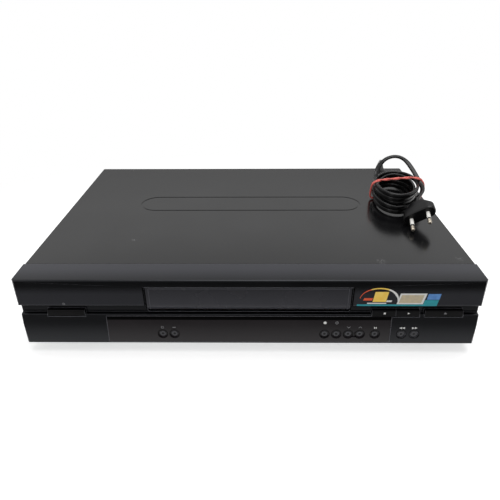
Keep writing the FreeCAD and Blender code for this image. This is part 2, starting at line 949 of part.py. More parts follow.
def make_tuner_module():
    x0 = aerial_x[0] - 16
    x1 = aerial_x[1] + 18
    can = extrude_z(rectangle(x0, x1, socket_face - 46, rear_panel_y, 1), board_top, board_top + 26)
    lid_line = box(x0 + 4, x1 - 4, socket_face - 42, rear_panel_y - 5, board_top + 25.5, board_top + 27)
    can = can.cut(lid_line)
    solids = [can]
    bores = []
    for x in aerial_x:
        solids.append(rod_along_y(x, aerial_z(), rear_panel_y - 1, rear_y + socket_proud, aerial_radius))
        face = rear_y + socket_proud
        ring = rod_along_y(x, aerial_z(), face - 9, face + 1, aerial_radius - 0.9)
        bores.append(ring.cut(rod_along_y(x, aerial_z(), rear_panel_y - 20, rear_y + 9, 1.2)))
    save("tuner_module", join(solids).cut(bores))


def make_scart_sockets():
    sockets = []
    for x in scart_x:
        half = scart_width / 2 + 2.5
        z1 = socket_height + scart_tall / 2 + 3
        body = box(x - half, x + half, rear_panel_y - 17, rear_panel_y, board_top, z1)
        nose = scart_nose(x, 0, rear_panel_y - 1, rear_y + socket_proud)
        face = rear_y + socket_proud
        inner_nose = scart_nose(x, -scart_wall - moat, face - 10, face + 2)
        trench = scart_nose(x, -scart_wall, face - 9, face + 1).cut(inner_nose)
        contacts = []
        for row in (-1, 1):
            for i in range(10):
                cx = x - 17.1 + i * 3.8
                cz = socket_height + row * 2.4 - 0.6
                contacts.append(box(cx - 0.5, cx + 0.5, face - 7, face + 1, cz - 1.4, cz + 1.4))
        sockets.append(join([body, nose]).cut([trench] + contacts))
    save("scart_sockets", sockets)


def make_phono_sockets():
    x0 = phono_x[0] - 10
    x1 = phono_x[1] + 10
    face = rear_y + socket_proud
    block = extrude_z(rectangle(x0, x1, rear_panel_y - 14, rear_panel_y, 0.8), board_top, phono_rows[1] + 9)
    solids = [block]
    bores = []
    for x in phono_x:
        for z in phono_rows:
            solids.append(rod_along_y(x, z, rear_panel_y - 1, face, phono_radius))
            bores.append(rod_along_y(x, z, face - 10, face + 1, 1.7))
    save("phono_sockets", join(solids).cut(bores))


# Deck


def make_deck_plate():
    plate = extrude_z(rectangle(-deck_half_width, deck_half_width, deck_front, deck_rear, deck_corner),
                      deck_height, deck_top)
    holes = [
        rod(capstan_x, capstan_y, deck_height - 1, deck_top + 1, capstan_radius + shaft_gap),
        rod(0, clutch_y, deck_height - 1, deck_top + 1, reel_pin_radius + shaft_gap),
    ]
    slot_x = deck_half_width - deck_slot_inset
    for x in (-slot_x, slot_x):
        holes.append(extrude_z(slot(x - 5, x + 5, -96, -58), deck_height - 1, deck_top + 1))
    solids = [plate.cut(holes)]
    bearing = rod(capstan_x, capstan_y, deck_top, deck_top + 6.5, 5.0)
    bearing_bore = rod(capstan_x, capstan_y, deck_top - 1, deck_top + 8, capstan_radius + shaft_gap)
    solids.append(bearing.cut(bearing_bore))
    for side in (-1, 1):
        washer_top = deck_top + reel_washer
        solids.append(rod(side * reel_x, reel_y, deck_top, washer_top, 4.0))
        solids.append(rod(side * reel_x, reel_y, washer_top, spindle_top + 1.0, reel_pin_radius))
        solids.append(rod(side * guide_pivot[0], guide_pivot[1], deck_top, arm_low + arm_thick + 0.8,
                          pin_radius))
    for x, y in (pinch_pivot, tension_pivot):
        solids.append(rod(x, y, deck_top, arm_low + arm_thick + 1.6, pin_radius))
    solids.append(rod(cam_x, cam_y, deck_top, cam_top + 1.0, pin_radius))
    worm_y = worm_centre_y()
    saddle_top = worm_z() - motor_radius - fit_gap
    if saddle_top > deck_top:
        x0 = 3 - deck_half_width
        solids.append(box(x0, x0 + 14, worm_y - 5, worm_y + 5, deck_top, saddle_top))
    save("deck_plate", solids)


def worm_centre_y():
    return cam_y - cam_radius - worm_clearance - worm_radius


def worm_z():
    return (cam_top + cam_bottom) / 2


def tilt_drum(shape):
    shape.rotate(Vector(0, drum_y, drum_middle), Vector(1, 0, 0), drum_tilt)
    return shape


def make_drums():
    pillars = [(0.0, 13.0), (22.0, 60.0), (-22.0, 60.0)]
    low = drum_middle - drum_lower
    lower = rod(0, drum_y, low, drum_middle - drum_gap / 2, drum_radius)
    guide = rod(0, drum_y, low, drum_middle - drum_gap / 2 - 4, drum_radius + 1).cut(
        rod(0, drum_y, low - 1, drum_middle - drum_gap / 2 - 3, drum_radius - 0.3))
    shaft = rod(0, drum_y, low, drum_middle + drum_upper + 1, drum_shaft_radius)
    drum = tilt_drum(join([lower.cut(guide), shaft]))
    base_top = drum_base_height + drum_base_thick
    base = extrude_z([(pillars[0][0] + 7, pillars[0][1] - 6, 3), (pillars[1][0] + 7, pillars[1][1] + 6, 4),
                      (pillars[2][0] - 7, pillars[2][1] + 6, 4), (pillars[0][0] - 7, pillars[0][1] - 6, 3)],
                     drum_base_height, base_top)
    pedestal = rod(0, drum_y, drum_base_height, low + 3, drum_radius - 6)
    solids = [drum, base, pedestal]
    for x, y in pillars:
        solids.append(rod(x, y, deck_top, base_top, 3.5))
    save("lower_drum", join(solids))
    top = drum_middle + drum_upper
    upper = rod(0, drum_y, drum_middle + drum_gap / 2, top, drum_radius)
    dish = rod(0, drum_y, top - 3, top + 1, drum_radius - 4).cut(rod(0, drum_y, top - 4, top + 2, 11))
    bore = rod(0, drum_y, drum_middle - 1, top + 2, drum_shaft_radius + shaft_gap)
    save("upper_drum", tilt_drum(upper.cut([dish, bore])))


def make_guide_arms():
    for name, side in (("take_up_guide_arm", 1), ("supply_guide_arm", -1)):
        pivot = (side * guide_pivot[0], guide_pivot[1])
        end = (side * guide_rest[0], guide_rest[1])
        z0 = arm_low
        z1 = arm_low + arm_thick
        link = bar(pivot, end, arm_half_width, z0, z1)
        hub = rod(pivot[0], pivot[1], z0, z1, 5.5)
        base = rod(end[0], end[1], z0, z1 + 3.5, guide_base_radius)
        post = rod(end[0], end[1], z1 + 3, guide_top, guide_roller_radius - 0.6)
        roller = rod(end[0], end[1], z1 + 5.4, guide_top - 1.4, guide_roller_radius)
        flange_low = rod(end[0], end[1], z1 + 4.5, z1 + 5.5, guide_base_radius)
        flange_high = rod(end[0], end[1], guide_top - 1.5, guide_top - 0.5, guide_base_radius)
        arm = join([link, hub, base, post, roller, flange_low, flange_high])
        save(name, arm.cut(rod(pivot[0], pivot[1], z0 - 1, z1 + 1, pin_radius + shaft_gap)))


def make_capstan():
    low = belt_height - belt_size / 2 - 1.0
    disc_low = belt_height + belt_size / 2 + 1.0
    shaft = rod(capstan_x, capstan_y, low, capstan_top, capstan_radius)
    core = rod(capstan_x, capstan_y, low, disc_low, capstan_pulley_radius)
    flange = rod(capstan_x, capstan_y, low, belt_height - belt_size / 2 - fit_gap,
                 capstan_pulley_radius + pulley_flange)
    disc = rod(capstan_x, capstan_y, disc_low - 0.8, disc_low + flywheel_thick, flywheel_radius)
    dish = rod(capstan_x, capstan_y, disc_low - 1, disc_low + 0.6, flywheel_radius - 5).cut(
        rod(capstan_x, capstan_y, disc_low - 2, disc_low + 2, 12))
    save("capstan_flywheel", join([shaft, core, flange, disc]).cut(dish))


def make_clutch():
    low = belt_height - belt_size / 2 - 1.0
    high = belt_height + belt_size / 2 + 1.0
    radius = clutch_pulley_radius
    pulley = rod(0, clutch_y, low, high, radius + pulley_flange)
    groove = rod(0, clutch_y, belt_height - belt_size / 2 - fit_gap, belt_height + belt_size / 2 + fit_gap,
                 radius + pulley_flange + 1)
    groove = groove.cut(rod(0, clutch_y, low - 1, high + 1, radius))
    shaft = rod(0, clutch_y, low, wheel_low() + 2.0, reel_pin_radius)
    wheel = rod(0, clutch_y, wheel_low(), wheel_low() + 1.5, clutch_wheel_radius)
    windows = []
    for k in range(clutch_windows):
        turn = 2 * math.pi * k / clutch_windows
        x = clutch_window_reach * math.cos(turn)
        y = clutch_y + clutch_window_reach * math.sin(turn)
        windows.append(rod(x, y, wheel_low() - 1, wheel_low() + 3, clutch_window_radius))
    collar = rod(0, clutch_y, high - 0.1, deck_height - fit_gap, 3.5)
    lower = join([pulley.cut(groove), collar]).cut(shaft)
    save("clutch_pulley", [lower, shaft, wheel.cut(windows + [shaft])])


def wheel_low():
    return arm_low + 1.2 + fit_gap


def make_belt():
    capstan_place = (capstan_x, capstan_y)
    clutch_place = (0.0, clutch_y)
    z0 = belt_height - belt_size / 2
    z1 = belt_height + belt_size / 2
    play = 0.3
    outer = belt_loop(capstan_place, capstan_pulley_radius + play + belt_size, clutch_place,
                      clutch_pulley_radius + play + belt_size, z0, z1)
    inner = belt_loop(capstan_place, capstan_pulley_radius + play, clutch_place,
                      clutch_pulley_radius + play, z0 - 1, z1 + 1)
    save("reel_belt", outer.cut(inner))


def make_reels():
    for name, side in (("take_up_reel_table", 1), ("supply_reel_table", -1)):
        x = side * reel_x
        low = deck_top + reel_washer + fit_gap
        disc = rod(x, reel_y, low, low + 2.3, reel_radius)
        hub = rod(x, reel_y, low + 2, low + 4.5, spindle_radius + 2.5)
        spindle = rod(x, reel_y, low + 4, spindle_top - 2, spindle_radius)
        tip = Part.makeCone(spindle_radius, spindle_radius - 2.5, 2, Vector(x, reel_y, spindle_top - 2))
        solids = [disc, hub, spindle, tip]
        for k in range(6):
            fin = box(x + spindle_radius - 1, x + spindle_radius + 2.2, reel_y - 0.8, reel_y + 0.8, low + 4,
                      spindle_top - 4)
            fin.rotate(Vector(x, reel_y, 0), Vector(0, 0, 1), 60 * k)
            solids.append(fin)
        teeth = []
        for k in range(reel_teeth):
            turn = 2 * math.pi * k / reel_teeth
            tooth_x = x + (reel_radius + 0.5) * math.cos(turn)
            tooth_y = reel_y + (reel_radius + 0.5) * math.sin(turn)
            teeth.append(rod(tooth_x, tooth_y, low - 1, low + 3, tooth_radius))
        bore = rod(x, reel_y, low - 1, spindle_top + 1, reel_pin_radius + shaft_gap)
        save(name, join(solids).cut(teeth + [bore]))


def make_idler():
    end = (0.0, clutch_y - idler_reach)
    arm = bar((0.0, clutch_y), end, 3.0, arm_low, arm_low + 1.2)
    hub = rod(0, clutch_y, arm_low, arm_low + 1.2, 4.0)
    pin = rod(end[0], end[1], arm_low, wheel_low() + 2.2, 1.2)
    hole = rod(0, clutch_y, arm_low - 1, arm_low + 2, reel_pin_radius + shaft_gap)
    save("idler_arm", join([arm, hub, pin]).cut(hole))
    wheel = rod(end[0], end[1], wheel_low(), wheel_low() + 1.6, idler_radius)
    tyre_line = rod(end[0], end[1], wheel_low() + 1.3, wheel_low() + 2, idler_radius - 1.5).cut(
        rod(end[0], end[1], wheel_low(), wheel_low() + 3, idler_radius - 2.1))
    hole = rod(end[0], end[1], wheel_low() - 1, wheel_low() + 3, 1.2 + shaft_gap)
    save("idler_wheel", wheel.cut([tyre_line, hole]))


def make_pinch_roller():
    z0 = arm_low
    z1 = arm_low + arm_thick
    arm = bar(pinch_pivot, pinch_rest, arm_half_width, z0, z1)
    hub = rod(pinch_pivot[0], pinch_pivot[1], z0, z1 + 0.6, 5.5)
    shaft = rod(pinch_rest[0], pinch_rest[1], z0, 54.0, 1.5)
    step = rod(pinch_rest[0], pinch_rest[1], z0, 36.0 - fit_gap, 3.0)
    hole = rod(pinch_pivot[0], pinch_pivot[1], z0 - 1, z1 + 2, pin_radius + shaft_gap)
    save("pinch_arm", join([arm, hub, shaft, step]).cut(hole))
    roller = rod(pinch_rest[0], pinch_rest[1], 36.0, 52.0, pinch_radius)
    hub_ring = rod(pinch_rest[0], pinch_rest[1], 51.6, 52.6, pinch_radius - 2).cut(
        rod(pinch_rest[0], pinch_rest[1], 51, 53, pinch_radius - 4))
    hole = rod(pinch_rest[0], pinch_rest[1], 35, 53, 1.5 + shaft_gap)
    save("pinch_roller", roller.cut([hub_ring, hole]))


def make_tension_arm():
    z0 = arm_low
    z1 = arm_low + arm_thick
    arm = bar(tension_pivot, tension_rest, 2.8, z0, z1)
    hub = rod(tension_pivot[0], tension_pivot[1], z0, z1 + 0.6, 5.0)
    post = rod(tension_rest[0], tension_rest[1], z0, guide_top, 2.0)
    flange = rod(tension_rest[0], tension_rest[1], 34, 35, 3.0)
    cap = rod(tension_rest[0], tension_rest[1], guide_top - 1, guide_top, 3.0)
    hole = rod(tension_pivot[0], tension_pivot[1], z0 - 1, z1 + 2, pin_radius + shaft_gap)
    save("tension_arm", join([arm, hub, post, flange, cap]).cut(hole))


def make_tape_heads():
    heads = []
    for x, y in (control_head, erase_head):
        base = rod(x, y, deck_top, deck_top + 8, 4.5)
        block = extrude_z(rectangle(x - 4.5, x + 4.5, y - 4, y + 4, 1.5), deck_top + 7, 54)
        heads.append(join([base, block]))
    save("tape_heads", heads)


def make_loading_drive():
    teeth = []
    step = 2 * math.pi / cam_teeth
    for k in range(cam_teeth):
        turn = k * step
        tooth_x = cam_x + (cam_radius + 0.3) * math.cos(turn)
        tooth_y = cam_y + (cam_radius + 0.3) * math.sin(turn)
        teeth.append(rod(tooth_x, tooth_y, cam_bottom - 1, cam_top + 1, tooth_radius))
    wheel = rod(cam_x, cam_y, cam_bottom, cam_top, cam_radius).cut(teeth)
    drum = rod(cam_x, cam_y, arm_low + 0.2, cam_bottom + 0.5, cam_radius - 4)
    groove = rod(cam_x, cam_y, cam_top - 1.5, cam_top + 1, cam_radius - 3.5).cut(
        rod(cam_x + 2, cam_y, cam_top - 3, cam_top + 2, cam_radius - 7.5))
    bore = rod(cam_x, cam_y, arm_low - 1, cam_top + 2, pin_radius + shaft_gap)
    save("cam_gear", join([wheel, drum]).cut([groove, bore]))
    y = worm_centre_y()
    z = worm_z()
    motor_x0 = -deck_half_width + 0.5
    motor_x1 = motor_x0 + motor_length
    can = rod_along_x(y, z, motor_x0, motor_x1, motor_radius)
    boss = rod_along_x(y, z, motor_x1 - 0.5, motor_x1 + 1.2, 3.5)
    worm_x0 = motor_x1 + 1.5
    worm_x1 = cam_x + 10
    shaft = rod_along_x(y, z, motor_x1, worm_x1 + 1.5, 1.2)
    save("loading_motor", join([can, boss, shaft]))
    worm = rod_along_x(y, z, worm_x0, worm_x1, worm_radius)
    threads = []
    pitch = 3.0
    ring_x = worm_x0 + 2
    while ring_x < worm_x1 - 1.5:
        ring = rod_along_x(y, z, ring_x, ring_x + 1.4, worm_radius + 1).cut(
            rod_along_x(y, z, ring_x - 1, ring_x + 3, worm_radius - 1.1))
        threads.append(ring)
        ring_x += pitch
    bore = rod_along_x(y, z, worm_x0 - 1, worm_x1 + 1, 1.2 + shaft_gap)
    save("loading_worm", worm.cut(threads + [bore]))


# Carriage


def make_carriage():
    cassette_half = cassette_width / 2
    holder_in = cassette_half + 0.5
    holder_out = holder_in + holder_wall
    slider_in = holder_out + fit_gap
    slider_out = slider_in + slider_wall
    frame_in = slider_out + fit_gap
    frame_out = frame_in + frame_wall
    cassette_rear = front_y - cassette_stick_out + cassette_depth
    holder_rear = cassette_rear + 3.0
    holder_front = holder_rear - holder_length
    lip_low = cassette_sill - 0.8
    cassette_top = cassette_sill + cassette_height
    bridge = cassette_top + 1.0
    solids = []
    for side in (-1, 1):
        x0, x1 = span_of(side, holder_in, holder_out)
        solids.append(box(x0, x1, holder_front, holder_rear, lip_low, bridge + 1))
        x0, x1 = span_of(side, holder_in - holder_lip, holder_out)
        solids.append(box(x0, x1, holder_front, holder_rear, lip_low, cassette_sill - 0.1))
        solids.append(box(x0, x1, cassette_rear + 0.2, cassette_rear + 1.2, lip_low, cassette_top - 2))
    solids.append(box(-holder_out, holder_out, holder_front + 12, holder_front + 36, bridge, bridge + 1))
    save("cassette_holder", join(solids))

    rail_top = 38.0
    slider_front = holder_front + 10
    slider_rear = slider_front + slider_length
    bar_low = frame_top - frame_wall - 0.8 - 1.2
    solids = []
    for side in (-1, 1):
        x0, x1 = span_of(side, slider_in, slider_out)
        solids.append(box(x0, x1, slider_front, slider_rear, rail_top, bar_low + 1.2))
    solids.append(box(-slider_out, slider_out, slider_front + 7, slider_rear - 7, bar_low, bar_low + 1.2))
    save("carriage_slider", join(solids))

    frame_front = deck_front + 1
    frame_rear = slider_rear + carriage_travel + 9
    solids = []
    for side in (-1, 1):
        x0, x1 = span_of(side, frame_in, frame_out)
        solids.append(box(x0, x1, frame_front, frame_rear, deck_top, frame_top))
        x0, x1 = span_of(side, slider_in, frame_out)
        solids.append(box(x0, x1, frame_front, frame_rear, rail_top - 1.2, rail_top))
        x0, x1 = span_of(side, frame_in, frame_out + 6)
        for y in (frame_front + 5, frame_rear - 17):
            solids.append(box(x0, x1, y, y + 12, deck_top, deck_top + frame_wall))
    for y in (frame_front, frame_rear - 8):
        solids.append(box(-frame_out, frame_out, y, y + 8, frame_top - frame_wall, frame_top))
    save("carriage_frame", join(solids))


def span_of(side, a, b):
    return (min(side * a, side * b), max(side * a, side * b))


# Mains lead, wound and tied on the cover


def arc_middle(start, tangent, end):
    chord = end - start
    length = chord.Length
    along = chord * (1 / length)
    lean = tangent - along * tangent.dot(along)
    if lean.Length < 1e-6:
        return None
    angle = tangent.getAngle(along)
    return (start + end) * 0.5 + lean.normalize() * (length / 2 * math.tan(angle / 2))


def arc_edge(start, tangent, end):
    middle = arc_middle(start, tangent, end)
    if middle is None:
        return Part.LineSegment(start, end).toShape()
    return Part.Arc(start, middle, end).toShape()


def biarc(p0, t0, p1, t1):
    """Two tangent arcs from p0 along t0 to p1 along t1."""
    v = p1 - p0
    t = t0 + t1
    a = 2 * (1 - t0.dot(t1))
    b = v.dot(t)
    if abs(a) < 1e-9:
        d = v.dot(v) / (2 * b)
    else:
        d = (-b + math.sqrt(b * b + a * v.dot(v))) / a
    joint = (p0 + t0 * d + p1 - t1 * d) * 0.5
    first = arc_edge(p0, t0, joint)
    back_middle = arc_middle(p1, t1 * -1, joint)
    if back_middle is None:
        second = Part.LineSegment(joint, p1).toShape()
    else:
        second = Part.Arc(joint, back_middle, p1).toShape()
    return [first, second]


def hank_point(t):
    """A place on the wound loops, t turns after the right side, seen from above clockwise."""
    in_wave = (t - hank_start) % (2 * hank_leg_turns)
    inward = in_wave if in_wave <= hank_leg_turns else 2 * hank_leg_turns - in_wave
    layer = 0.0
    for k in range(1, hank_legs + 1):
        reversal = hank_start + k * hank_leg_turns
        share = min(max((t - reversal) / 0.5 + 0.5, 0), 1)
        layer += share * share * (3 - 2 * share)
    a = hank_half_width - hank_step * inward
    b = hank_half_length - hank_step * inward
    angle = 2 * math.pi * t
    x = a * math.cos(angle)
    y = -b * math.sin(angle)
    turn = math.radians(hank_turn)
    rise = hank_lift * layer
    return Vector(
        hank_centre[0] + x * math.cos(turn) + y * math.sin(turn),
        hank_centre[1] - x * math.sin(turn) + y * math.cos(turn),
        top_z + hank_first + rise,
    )


def hank_direction(t):
    return (hank_point(t + 0.02) - hank_point(t - 0.02)).normalize()


def plug_axes():
    back = Vector(*plug_back).normalize()
    across = Vector(*plug_across)
    across = (across - back * across.dot(back)).normalize()
    return across, back, across.cross(back)


def sweep(edges, radius):
    path = Part.Wire(edges)
    start = edges[0].valueAt(edges[0].FirstParameter)
    direction = edges[0].tangentAt(edges[0].FirstParameter)
    profile = Part.Wire(Part.makeCircle(radius, start, direction))
    return path.makePipeShell([profile], True, False)


def arch_points():
    """The last half loop, from the inner left side up over the hank and down to the plug."""
    x, y = hank_centre
    return [
        Vector(x - 21, y + 16, top_z + 25.8),
        Vector(x - 16.5, y + 23.5, top_z + 35.5),
        Vector(x - 7.5, y + 28, top_z + 44.5),
        Vector(x + 6.5, y + 29, top_z + 47.5),
        Vector(x + 19, y + 25, top_z + 43.2),
        Vector(x + 27.5, y + 14.5, top_z + 33.5),
        Vector(x + 32.5, y + 0.5, top_z + 24.5),
        Vector(x + 31.5, y - 17, top_z + 20),
    ]


def coil_edges():
    turns = hank_legs * hank_leg_turns + hank_last_turns
    count = int(turns * hank_nodes_per_turn)
    times = [hank_start + turns * i / count for i in range(count + 1)]
    nodes = [(hank_point(t), hank_direction(t)) for t in times]
    back = plug_axes()[1]
    tail_end = Vector(*plug_face) + back * (plug_body + plug_tail)
    straight = tail_end + back * tail_run
    chain = [nodes[-1][0]] + arch_points() + [straight]
    for i in range(1, len(chain) - 1):
        nodes.append((chain[i], (chain[i + 1] - chain[i - 1]).normalize()))
    nodes.append((straight, back * -1))
    first, first_direction = nodes[0]
    edges = [Part.LineSegment(first - first_direction * cord_diameter, first).toShape()]
    for (p0, t0), (p1, t1) in zip(nodes, nodes[1:]):
        edges += biarc(p0, t0, p1, t1)
    edges.append(Part.LineSegment(straight, tail_end).toShape())
    return edges


def least_gap(edges, diameter):
    """The smallest space between stretches of a tube that aren't neighbours along it."""
    points = []
    travelled = 0.0
    for edge in edges:
        count = max(2, int(edge.Length / 2.0))
        for i in range(count):
            at = edge.getParameterByLength(edge.Length * i / count)
            points.append((travelled + edge.Length * i / count, edge.valueAt(at)))
        travelled += edge.Length
    least = 1e9
    for i, (s0, p0) in enumerate(points):
        for s1, p1 in points[i + 1:]:
            if s1 - s0 > 5 * diameter:
                dx = p1.x - p0.x
                dy = p1.y - p0.y
                dz = p1.z - p0.z
                least = min(least, dx * dx + dy * dy + dz * dz)
    return math.sqrt(least) - diameter, travelled


def rounded_route(points):
    """Straight runs joined by tangent arcs, each arc as large as its two runs allow."""
    edges = []
    radii = []
    at = points[0]
    for i in range(1, len(points) - 1):
        here = points[i]
        before = (here - points[i - 1])
        after = (points[i + 1] - here)
        turn = before.getAngle(after)
        shorter = min(before.Length, after.Length)
        reach = 0.45 * shorter
        radii.append(reach / math.tan(turn / 2))
        start = here - before.normalize() * reach
        end = here + after.normalize() * reach
        edges.append(Part.LineSegment(at, start).toShape())
        edges.append(arc_edge(start, before, end))
        at = end
    edges.append(Part.LineSegment(at, points[-1]).toShape())
    return edges, radii


def gland_tip():
    return socket_face + gland_flange + gland_length


def lead_points():
    first = hank_point(hank_start)
    direction = hank_direction(hank_start)
    end = first - direction * cord_diameter
    return [
        Vector(cord_x, gland_tip(), cord_height),
        Vector(cord_x, gland_tip() + 16, cord_height),
        Vector(cord_x + 2.5, gland_tip() + 29, cord_height + 8.5),
        Vector(cord_x + 6, gland_tip() + 34, cord_height + 23.5),
        Vector(cord_x + 9, gland_tip() + 29, cord_height + 39.5),
        Vector(cord_x + 8.5, gland_tip() + 15.5, top_z - 2),
        Vector(cord_x + 4, gland_tip() - 1.5, top_z + 5),
        Vector(cord_x - 1, gland_tip() - 19, top_z + 7.8),
        Vector(cord_x - 4.2, gland_tip() - 36.5, top_z + 4.5),
        Vector(cord_x - 1, gland_tip() - 53.5, top_z + 3.2),
        Vector(cord_x + 3.5, gland_tip() - 71.5, top_z + 3.2),
        end - direction * 14,
        end,
    ]


def make_cord_gland():
    face = socket_face + gland_flange
    flange = rod_along_y(cord_x, cord_height, socket_face, face, gland_flange_radius)
    neck = rod_along_y(cord_x, cord_height, rear_panel_y - 1.0, socket_face + 0.5, gland_neck_radius)
    inner = rod_along_y(cord_x, cord_height, rear_panel_y - 4.0, rear_panel_y - fit_gap, 7.5)
    taper = Part.makeCone(gland_wide_radius, gland_tip_radius, gland_length,
                          Vector(cord_x, face, cord_height), Vector(0, 1, 0))
    slits = []
    for i in range(4):
        y = socket_face + 5 + i * 3.6
        for side in (-1, 1):
            slits.append(box(cord_x + side * 4 - 1.8, cord_x + side * 4 + 1.8, y, y + 1.3, cord_height - 7,
                             cord_height + 7))
    save("cord_gland", join([flange, neck, inner, taper.cut(slits)]))


def make_cord():
    edges, radii = rounded_route(lead_points())
    lead = sweep(edges, cord_diameter / 2)
    save("cord_lead", lead)
    length = sum(edge.Length for edge in edges)
    print("lead length", round(length, 1), "radii", [round(r, 1) for r in radii])
    area = math.pi * cord_diameter ** 2 / 4
    print("lead volume share", round(lead.Volume / (length * area), 4), lead.isValid())
    coil = coil_edges()
    tube = sweep(coil, cord_diameter / 2)
    save("cord_coil", tube)
    gap, coil_length = least_gap(coil, cord_diameter)
    print("coil length", round(coil_length, 1), "least gap", round(gap, 2))
    print("coil volume share", round(tube.Volume / (coil_length * area), 4), tube.isValid())
    print("whole lead", round(length + coil_length, 1))


def make_plug():
    across, back, upward = plug_axes()
    face = Vector(*plug_face)
    half = plug_width / 2
    end_radius = plug_thick / 2 * 0.98

    def section(distance, half_across, half_tall, radius):
        origin = face + back * distance
        points = rectangle(-half_across, half_across, -half_tall, half_tall, radius)
        return corner_wire(points, lambda a, b: origin + across * a + upward * b)

    body_sections = [
        section(0, half - 0.8, plug_thick / 2 - 0.5, end_radius - 0.6),
        section(2, half, plug_thick / 2, end_radius),
        section(plug_body * 0.55, half - 0.6, plug_thick / 2, end_radius),
        section(plug_body, half * 0.55, plug_thick / 2 * 0.86, end_radius * 0.8),
    ]
    body = Part.makeLoft(body_sections, True, True)
    tail = Part.makeCone(plug_tail_radius + 1.4, plug_tail_radius - 0.4, plug_tail + 1,
                         face + back * (plug_body - 1), back)
    save("plug_body", join([body, tail]))
    pins = []
    for side in (-1, 1):
        base = face + across * (side * pin_spacing / 2)
        pin = Part.makeCylinder(mains_pin_radius, mains_pin_length, base, back * -1)
        tip_edges = []
        for edge in pin.Edges:
            at_tip = (edge.CenterOfMass - base).Length > mains_pin_length - 0.5
            if at_tip and edge.Curve.TypeId == "Part::GeomCircle":
                tip_edges.append(edge)
        pins.append(pin.makeFillet(1.2, tip_edges))
    save("plug_pins", pins)


def make_rubber_band():
    """Two strands of one doubled band round the whole hank."""
    low = top_z + 0.15 + band_radius
    turn = math.radians(hank_turn)
    reach = math.hypot(hank_half_width * math.cos(turn), hank_half_length * math.sin(turn))
    around = cord_diameter / 2 + band_radius + band_margin
    left = hank_centre[0] - reach - around
    upper, foot = arch_points()[5:7]
    share = (band_y - foot.y) / (upper.y - foot.y)
    right = foot.x + around
    high_right = foot.z + share * (upper.z - foot.z) + around + arch_bulge
    high_left = top_z + hank_first + hank_legs * hank_lift + around
    strands = []
    for side in (-1, 1):
        y = band_y + side * (band_radius + 0.15)
        points = [(left, low, band_corner), (right, low, band_corner), (right, high_right, band_corner + 1),
                  (left + 1.5, high_left, band_corner + 1)]
        wire = corner_wire(points, lambda a, b: Vector(a, y, b))
        edges = wire.Edges
        start = edges[0].valueAt(edges[0].FirstParameter)
        direction = edges[0].tangentAt(edges[0].FirstParameter)
        profile = Part.Wire(Part.makeCircle(band_radius, start, direction))
        strands.append(wire.makePipeShell([profile], True, False))
    save("rubber_band", strands)


os.makedirs("parts", exist_ok=True)
make_top_cover()
make_cover_screws()
make_front_panel()
make_display_window()
make_bottom_plate()
make_feet()
make_rear_panel()
make_front_board()
make_tact_switches()
make_display_tube()
make_buttons()
make_cassette_door()
make_door_spring()
make_main_board()
make_power_transformer()
make_filter_capacitors()
make_heat_sink()
make_tuner_module()
make_scart_sockets()
make_phono_sockets()
make_deck_plate()
make_drums()
make_guide_arms()
make_capstan()
make_clutch()
make_belt()
make_reels()
make_idler()
make_pinch_roller()
make_tension_arm()
make_tape_heads()
make_loading_drive()
make_carriage()
make_cord_gland()
make_cord()
make_plug()
make_rubber_band()
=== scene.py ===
import bmesh
import bpy
import math
from mathutils import Matrix, Vector


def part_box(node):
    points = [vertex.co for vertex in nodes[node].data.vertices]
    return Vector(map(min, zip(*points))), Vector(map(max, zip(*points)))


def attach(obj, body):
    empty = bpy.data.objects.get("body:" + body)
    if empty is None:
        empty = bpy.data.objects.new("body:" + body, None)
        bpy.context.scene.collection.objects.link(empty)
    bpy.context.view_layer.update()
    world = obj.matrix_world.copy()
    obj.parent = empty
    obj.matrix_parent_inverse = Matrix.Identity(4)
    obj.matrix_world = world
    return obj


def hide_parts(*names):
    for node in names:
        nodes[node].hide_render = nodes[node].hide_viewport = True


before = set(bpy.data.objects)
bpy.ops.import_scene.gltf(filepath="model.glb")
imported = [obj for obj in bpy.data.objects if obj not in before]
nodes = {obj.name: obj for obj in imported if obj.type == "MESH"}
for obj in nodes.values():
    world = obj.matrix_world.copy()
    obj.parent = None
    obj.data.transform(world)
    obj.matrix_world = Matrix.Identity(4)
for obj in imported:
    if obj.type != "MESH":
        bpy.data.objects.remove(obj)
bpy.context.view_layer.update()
mm = 0.001
coverTop = 84  # height of the cover's upper face, mm


def log(text):
    print("recorder: " + text)


# Camera at the photograph's viewing angle, its place in mm and its turns in degrees
cameraSettings = {
    "place": (7.8, -490.9, 319.4),
    "pitchDown": 26.26,
    "yaw": -0.92,
    "roll": 0.47,
    "lens": 33.415,
    "sensor": 36,
    "shiftY": -0.068,
    "clipStart": 0.01,
}


def addCamera(settings):
    pitch, yaw, roll = (math.radians(settings[key]) for key in ("pitchDown", "yaw", "roll"))
    across = Vector((math.cos(yaw), -math.sin(yaw), 0))
    away = Vector((math.sin(yaw), math.cos(yaw), 0))
    up = Vector((0, 0, 1))
    look = away * math.cos(pitch) - up * math.sin(pitch)
    lift = away * math.sin(pitch) + up * math.cos(pitch)
    right = across * math.cos(roll) - lift * math.sin(roll)
    top = across * math.sin(roll) + lift * math.cos(roll)
    data = bpy.data.cameras.new("photoCamera")
    data.sensor_width = settings["sensor"]
    data.lens = settings["lens"]
    data.shift_y = settings["shiftY"]
    data.clip_start = settings["clipStart"]
    camera = bpy.data.objects.new("photoCamera", data)
    bpy.context.scene.collection.objects.link(camera)
    turn = Matrix((right, top, -look)).transposed().to_4x4()
    camera.matrix_world = Matrix.Translation(Vector(settings["place"]) * mm) @ turn
    bpy.context.scene.camera = camera


addCamera(cameraSettings)
log("camera placed")

